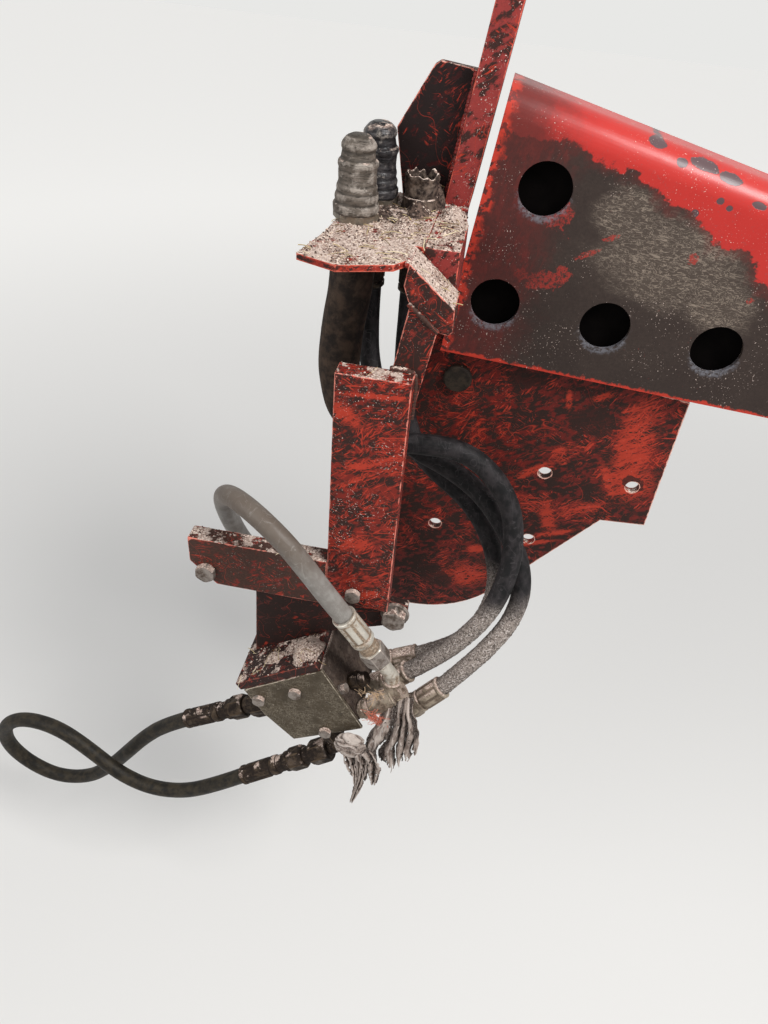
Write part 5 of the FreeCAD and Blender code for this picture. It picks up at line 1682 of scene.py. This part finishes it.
def scatter_tree(name, stone):
    """Scatters a stone over a bed. stone is 'crumb' or 'straw'."""
    tree = bpy.data.node_groups.new(name, "GeometryNodeTree")
    group_input(tree, "Bed", "NodeSocketGeometry")
    group_input(tree, "Density", "NodeSocketFloat", 1000.0)
    group_input(tree, "Size", "NodeSocketFloat", 0.001)
    group_input(tree, "Seed", "NodeSocketInt", 1)
    group_input(tree, "Finish", "NodeSocketMaterial")
    tree.interface.new_socket("Scatter", in_out="OUTPUT", socket_type="NodeSocketGeometry")
    given = tree.nodes.new("NodeGroupInput")
    result = tree.nodes.new("NodeGroupOutput")
    make, link = tree.nodes.new, tree.links.new

    cover = make("GeometryNodeInputNamedAttribute")
    cover.inputs["Name"].default_value = "cover"
    density = make("ShaderNodeMath")
    density.operation = "MULTIPLY"
    link(cover.outputs["Attribute"], density.inputs[0])
    link(given.outputs["Density"], density.inputs[1])
    spread = make("GeometryNodeDistributePointsOnFaces")
    link(given.outputs["Bed"], spread.inputs["Mesh"])
    link(density.outputs[0], spread.inputs["Density"])
    link(given.outputs["Seed"], spread.inputs["Seed"])

    turn = make("FunctionNodeRandomValue")
    turn.data_type = "FLOAT_VECTOR"
    turn.inputs["Min"].default_value = (0.0, 0.0, 0.0) if stone == "crumb" else (-0.25, -0.25, 0.0)
    turn.inputs["Max"].default_value = (6.28, 6.28, 6.28) if stone == "crumb" else (0.25, 0.25, 6.28)
    scale = make("FunctionNodeRandomValue")
    scale.data_type = "FLOAT_VECTOR"
    scale.inputs["Min"].default_value = (0.35, 0.3, 0.25) if stone == "crumb" else (0.4, 0.6, 0.6)
    scale.inputs["Max"].default_value = (1.2, 1.0, 0.8) if stone == "crumb" else (1.6, 1.3, 1.3)
    sized = make("ShaderNodeVectorMath")
    sized.operation = "SCALE"
    link(scale.outputs["Value"], sized.inputs[0])
    link(given.outputs["Size"], sized.inputs["Scale"])

    if stone == "crumb":
        body = make("GeometryNodeMeshIcoSphere")
        body.inputs["Radius"].default_value = 1.0
        body.inputs["Subdivisions"].default_value = 1
        shape = body.outputs["Mesh"]
    else:
        arc = make("GeometryNodeCurvePrimitiveBezierSegment")
        arc.inputs["Resolution"].default_value = 5
        arc.inputs["Start"].default_value = (-6.0, 0.0, 0.4)
        arc.inputs["Start Handle"].default_value = (-2.0, 1.6, 0.8)
        arc.inputs["End Handle"].default_value = (2.5, -0.6, 1.6)
        arc.inputs["End"].default_value = (6.0, 1.2, 0.5)
        ring = make("GeometryNodeCurvePrimitiveCircle")
        ring.inputs["Resolution"].default_value = 4
        ring.inputs["Radius"].default_value = 0.28
        tube = make("GeometryNodeCurveToMesh")
        tube.inputs["Fill Caps"].default_value = True
        link(arc.outputs["Curve"], tube.inputs["Curve"])
        link(ring.outputs["Curve"], tube.inputs["Profile Curve"])
        shape = tube.outputs["Mesh"]

    place = make("GeometryNodeInstanceOnPoints")
    link(spread.outputs["Points"], place.inputs["Points"])
    link(shape, place.inputs["Instance"])
    link(turn.outputs["Value"], place.inputs["Rotation"])
    link(sized.outputs["Vector"], place.inputs["Scale"])
    tint = make("FunctionNodeRandomValue")
    tint.data_type = "FLOAT"
    keep = make("GeometryNodeStoreNamedAttribute")
    keep.data_type = "FLOAT"
    keep.domain = "INSTANCE"
    keep.inputs["Name"].default_value = "tint"
    link(place.outputs["Instances"], keep.inputs["Geometry"])
    link(next(o for o in tint.outputs if o.type == "VALUE"), keep.inputs["Value"])
    real = make("GeometryNodeRealizeInstances")
    link(keep.outputs["Geometry"], real.inputs["Geometry"])
    paint = make("GeometryNodeSetMaterial")
    link(real.outputs["Geometry"], paint.inputs["Geometry"])
    link(given.outputs["Finish"], paint.inputs["Material"])
    link(paint.outputs["Geometry"], result.inputs["Scatter"])
    return tree


def scattered(name, bed, tree, values, body=CONSOLE):
    """Runs a tree on a bed, keeps the result as a plain mesh, and lets it ride."""
    modifier = bed.modifiers.new(name, "NODES")
    modifier.node_group = tree
    labels = {item.name: item.identifier for item in tree.interface.items_tree
              if item.item_type == "SOCKET" and item.in_out == "INPUT"}
    for label, value in values.items():
        modifier[labels[label]] = value
    bpy.context.view_layer.update()
    graph = bpy.context.evaluated_depsgraph_get()
    mesh = bpy.data.meshes.new_from_object(bed.evaluated_get(graph))
    bed.modifiers.remove(modifier)
    piece = bpy.data.objects.new(name, mesh)
    bpy.context.scene.collection.objects.link(piece)
    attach(piece, body)
    return piece


# %% Crumbs and straw
def scatter_finish(name, dark, middle, pale):
    f = Finish(name)
    tint = f.attribute("tint")
    base = f.mix(f.band(tint, 0.1, 0.5), dark, middle)
    base = f.mix(f.band(tint, 0.6, 0.9), base, pale)
    return f.done(base, 0.95)


crumb_finish = scatter_finish("crumbs", colour(74, 58, 50), colour(150, 126, 112), colour(214, 196, 180))
straw_finish = scatter_finish("straw", colour(120, 100, 70), colour(186, 166, 124), colour(226, 210, 176))
bed = bed_of(list(BED_AMOUNT))
crumb_tree = scatter_tree("scatter crumbs", "crumb")
straw_tree = scatter_tree("scatter straw", "straw")
crumbs = scattered("crumbs", bed, crumb_tree,
                   {"Density": 120000.0, "Size": 0.0016, "Seed": 4, "Finish": crumb_finish})
straws = scattered("straws", bed, straw_tree,
                   {"Density": 5200.0, "Size": 0.0014, "Seed": 9, "Finish": straw_finish})
bpy.data.objects.remove(bed)
print("crumb faces:", len(crumbs.data.polygons), "straw faces:", len(straws.data.polygons))

# %% [markdown]
# ## Floor and light
#
# The console hangs from its bolts, so the floor is a plain pale plane well below it that only takes a soft
# shadow. One broad lamp stands high at the front right, a weaker one at the left, and the world fills in.
# Brighter lamps would bleach the paint, so where their light thins out the floor glows a little, for the
# camera alone.

# %% Floor
low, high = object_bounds()
FLOOR_GAP, FLOOR_SIZE = 0.25, 12.0
floor_z = low.z - FLOOR_GAP
floor = add_mesh("floor", [Vector((x, y, floor_z)) for x, y in
                           ((-FLOOR_SIZE, -FLOOR_SIZE), (FLOOR_SIZE, -FLOOR_SIZE), (FLOOR_SIZE, FLOOR_SIZE),
                            (-FLOOR_SIZE, FLOOR_SIZE))], [(0, 1, 2, 3)], False)
floor_paint = Finish("floor")
from_lamp = floor_paint.node("ShaderNodeVectorMath", {"operation": "DISTANCE"},
                             {0: floor_paint.place, 1: (0.3, -0.5, floor_z)}, "Value")
seen_floor = floor_paint.node("ShaderNodeLightPath", {}, {}, "Is Camera Ray")
glow = floor_paint.mix(floor_paint.band(from_lamp, 0.9, 5.0) * seen_floor, (0.0, 0.0, 0.0, 1.0),
                       colour(176, 175, 172))
floor.data.materials.append(floor_paint.done(colour(226, 224, 220), 0.9, extra={
    "Emission Color": glow, "Emission Strength": 1.0}))


# %% Lamps and world
def lamp(name, place, aim, size, watts):
    data = bpy.data.lights.new(name, "AREA")
    data.shape = "DISK"
    data.size = size
    data.energy = watts
    made = bpy.data.objects.new(name, data)
    bpy.context.scene.collection.objects.link(made)
    made.matrix_world = Matrix.Translation(place) @ (place - aim).to_track_quat("Z", "Y").to_matrix().to_4x4()
    return made


AIM = Vector((-0.10, -0.10, 0.10))
lamp("key lamp", Vector((1.3, -1.0, 2.0)), AIM, 1.0, 62.0)
lamp("fill lamp", Vector((-1.8, -1.7, 1.3)), AIM, 1.8, 24.0)
world = bpy.data.worlds.new("world")
bpy.context.scene.world = world
world.use_nodes = True
links, made = world.node_tree.links, world.node_tree.nodes
made.clear()
ray = made.new("ShaderNodeLightPath")
seen = made.new("ShaderNodeMath")
seen.operation = "MAXIMUM"
links.new(ray.outputs["Is Camera Ray"], seen.inputs[0])
links.new(ray.outputs["Is Glossy Ray"], seen.inputs[1])
light, backdrop, both = made.new("ShaderNodeBackground"), made.new("ShaderNodeBackground"), made.new(
    "ShaderNodeMixShader")
light.inputs["Color"].default_value = colour(240, 242, 246)
light.inputs["Strength"].default_value = 0.55
backdrop.inputs["Color"].default_value = colour(232, 232, 230)
backdrop.inputs["Strength"].default_value = 1.0
links.new(seen.outputs[0], both.inputs[0])
links.new(light.outputs[0], both.inputs[1])
links.new(backdrop.outputs[0], both.inputs[2])
last = made.new("ShaderNodeOutputWorld")
links.new(both.outputs[0], last.inputs["Surface"])
bpy.context.scene.view_settings.view_transform = "Standard"
print("floor at", round(floor_z, 3))
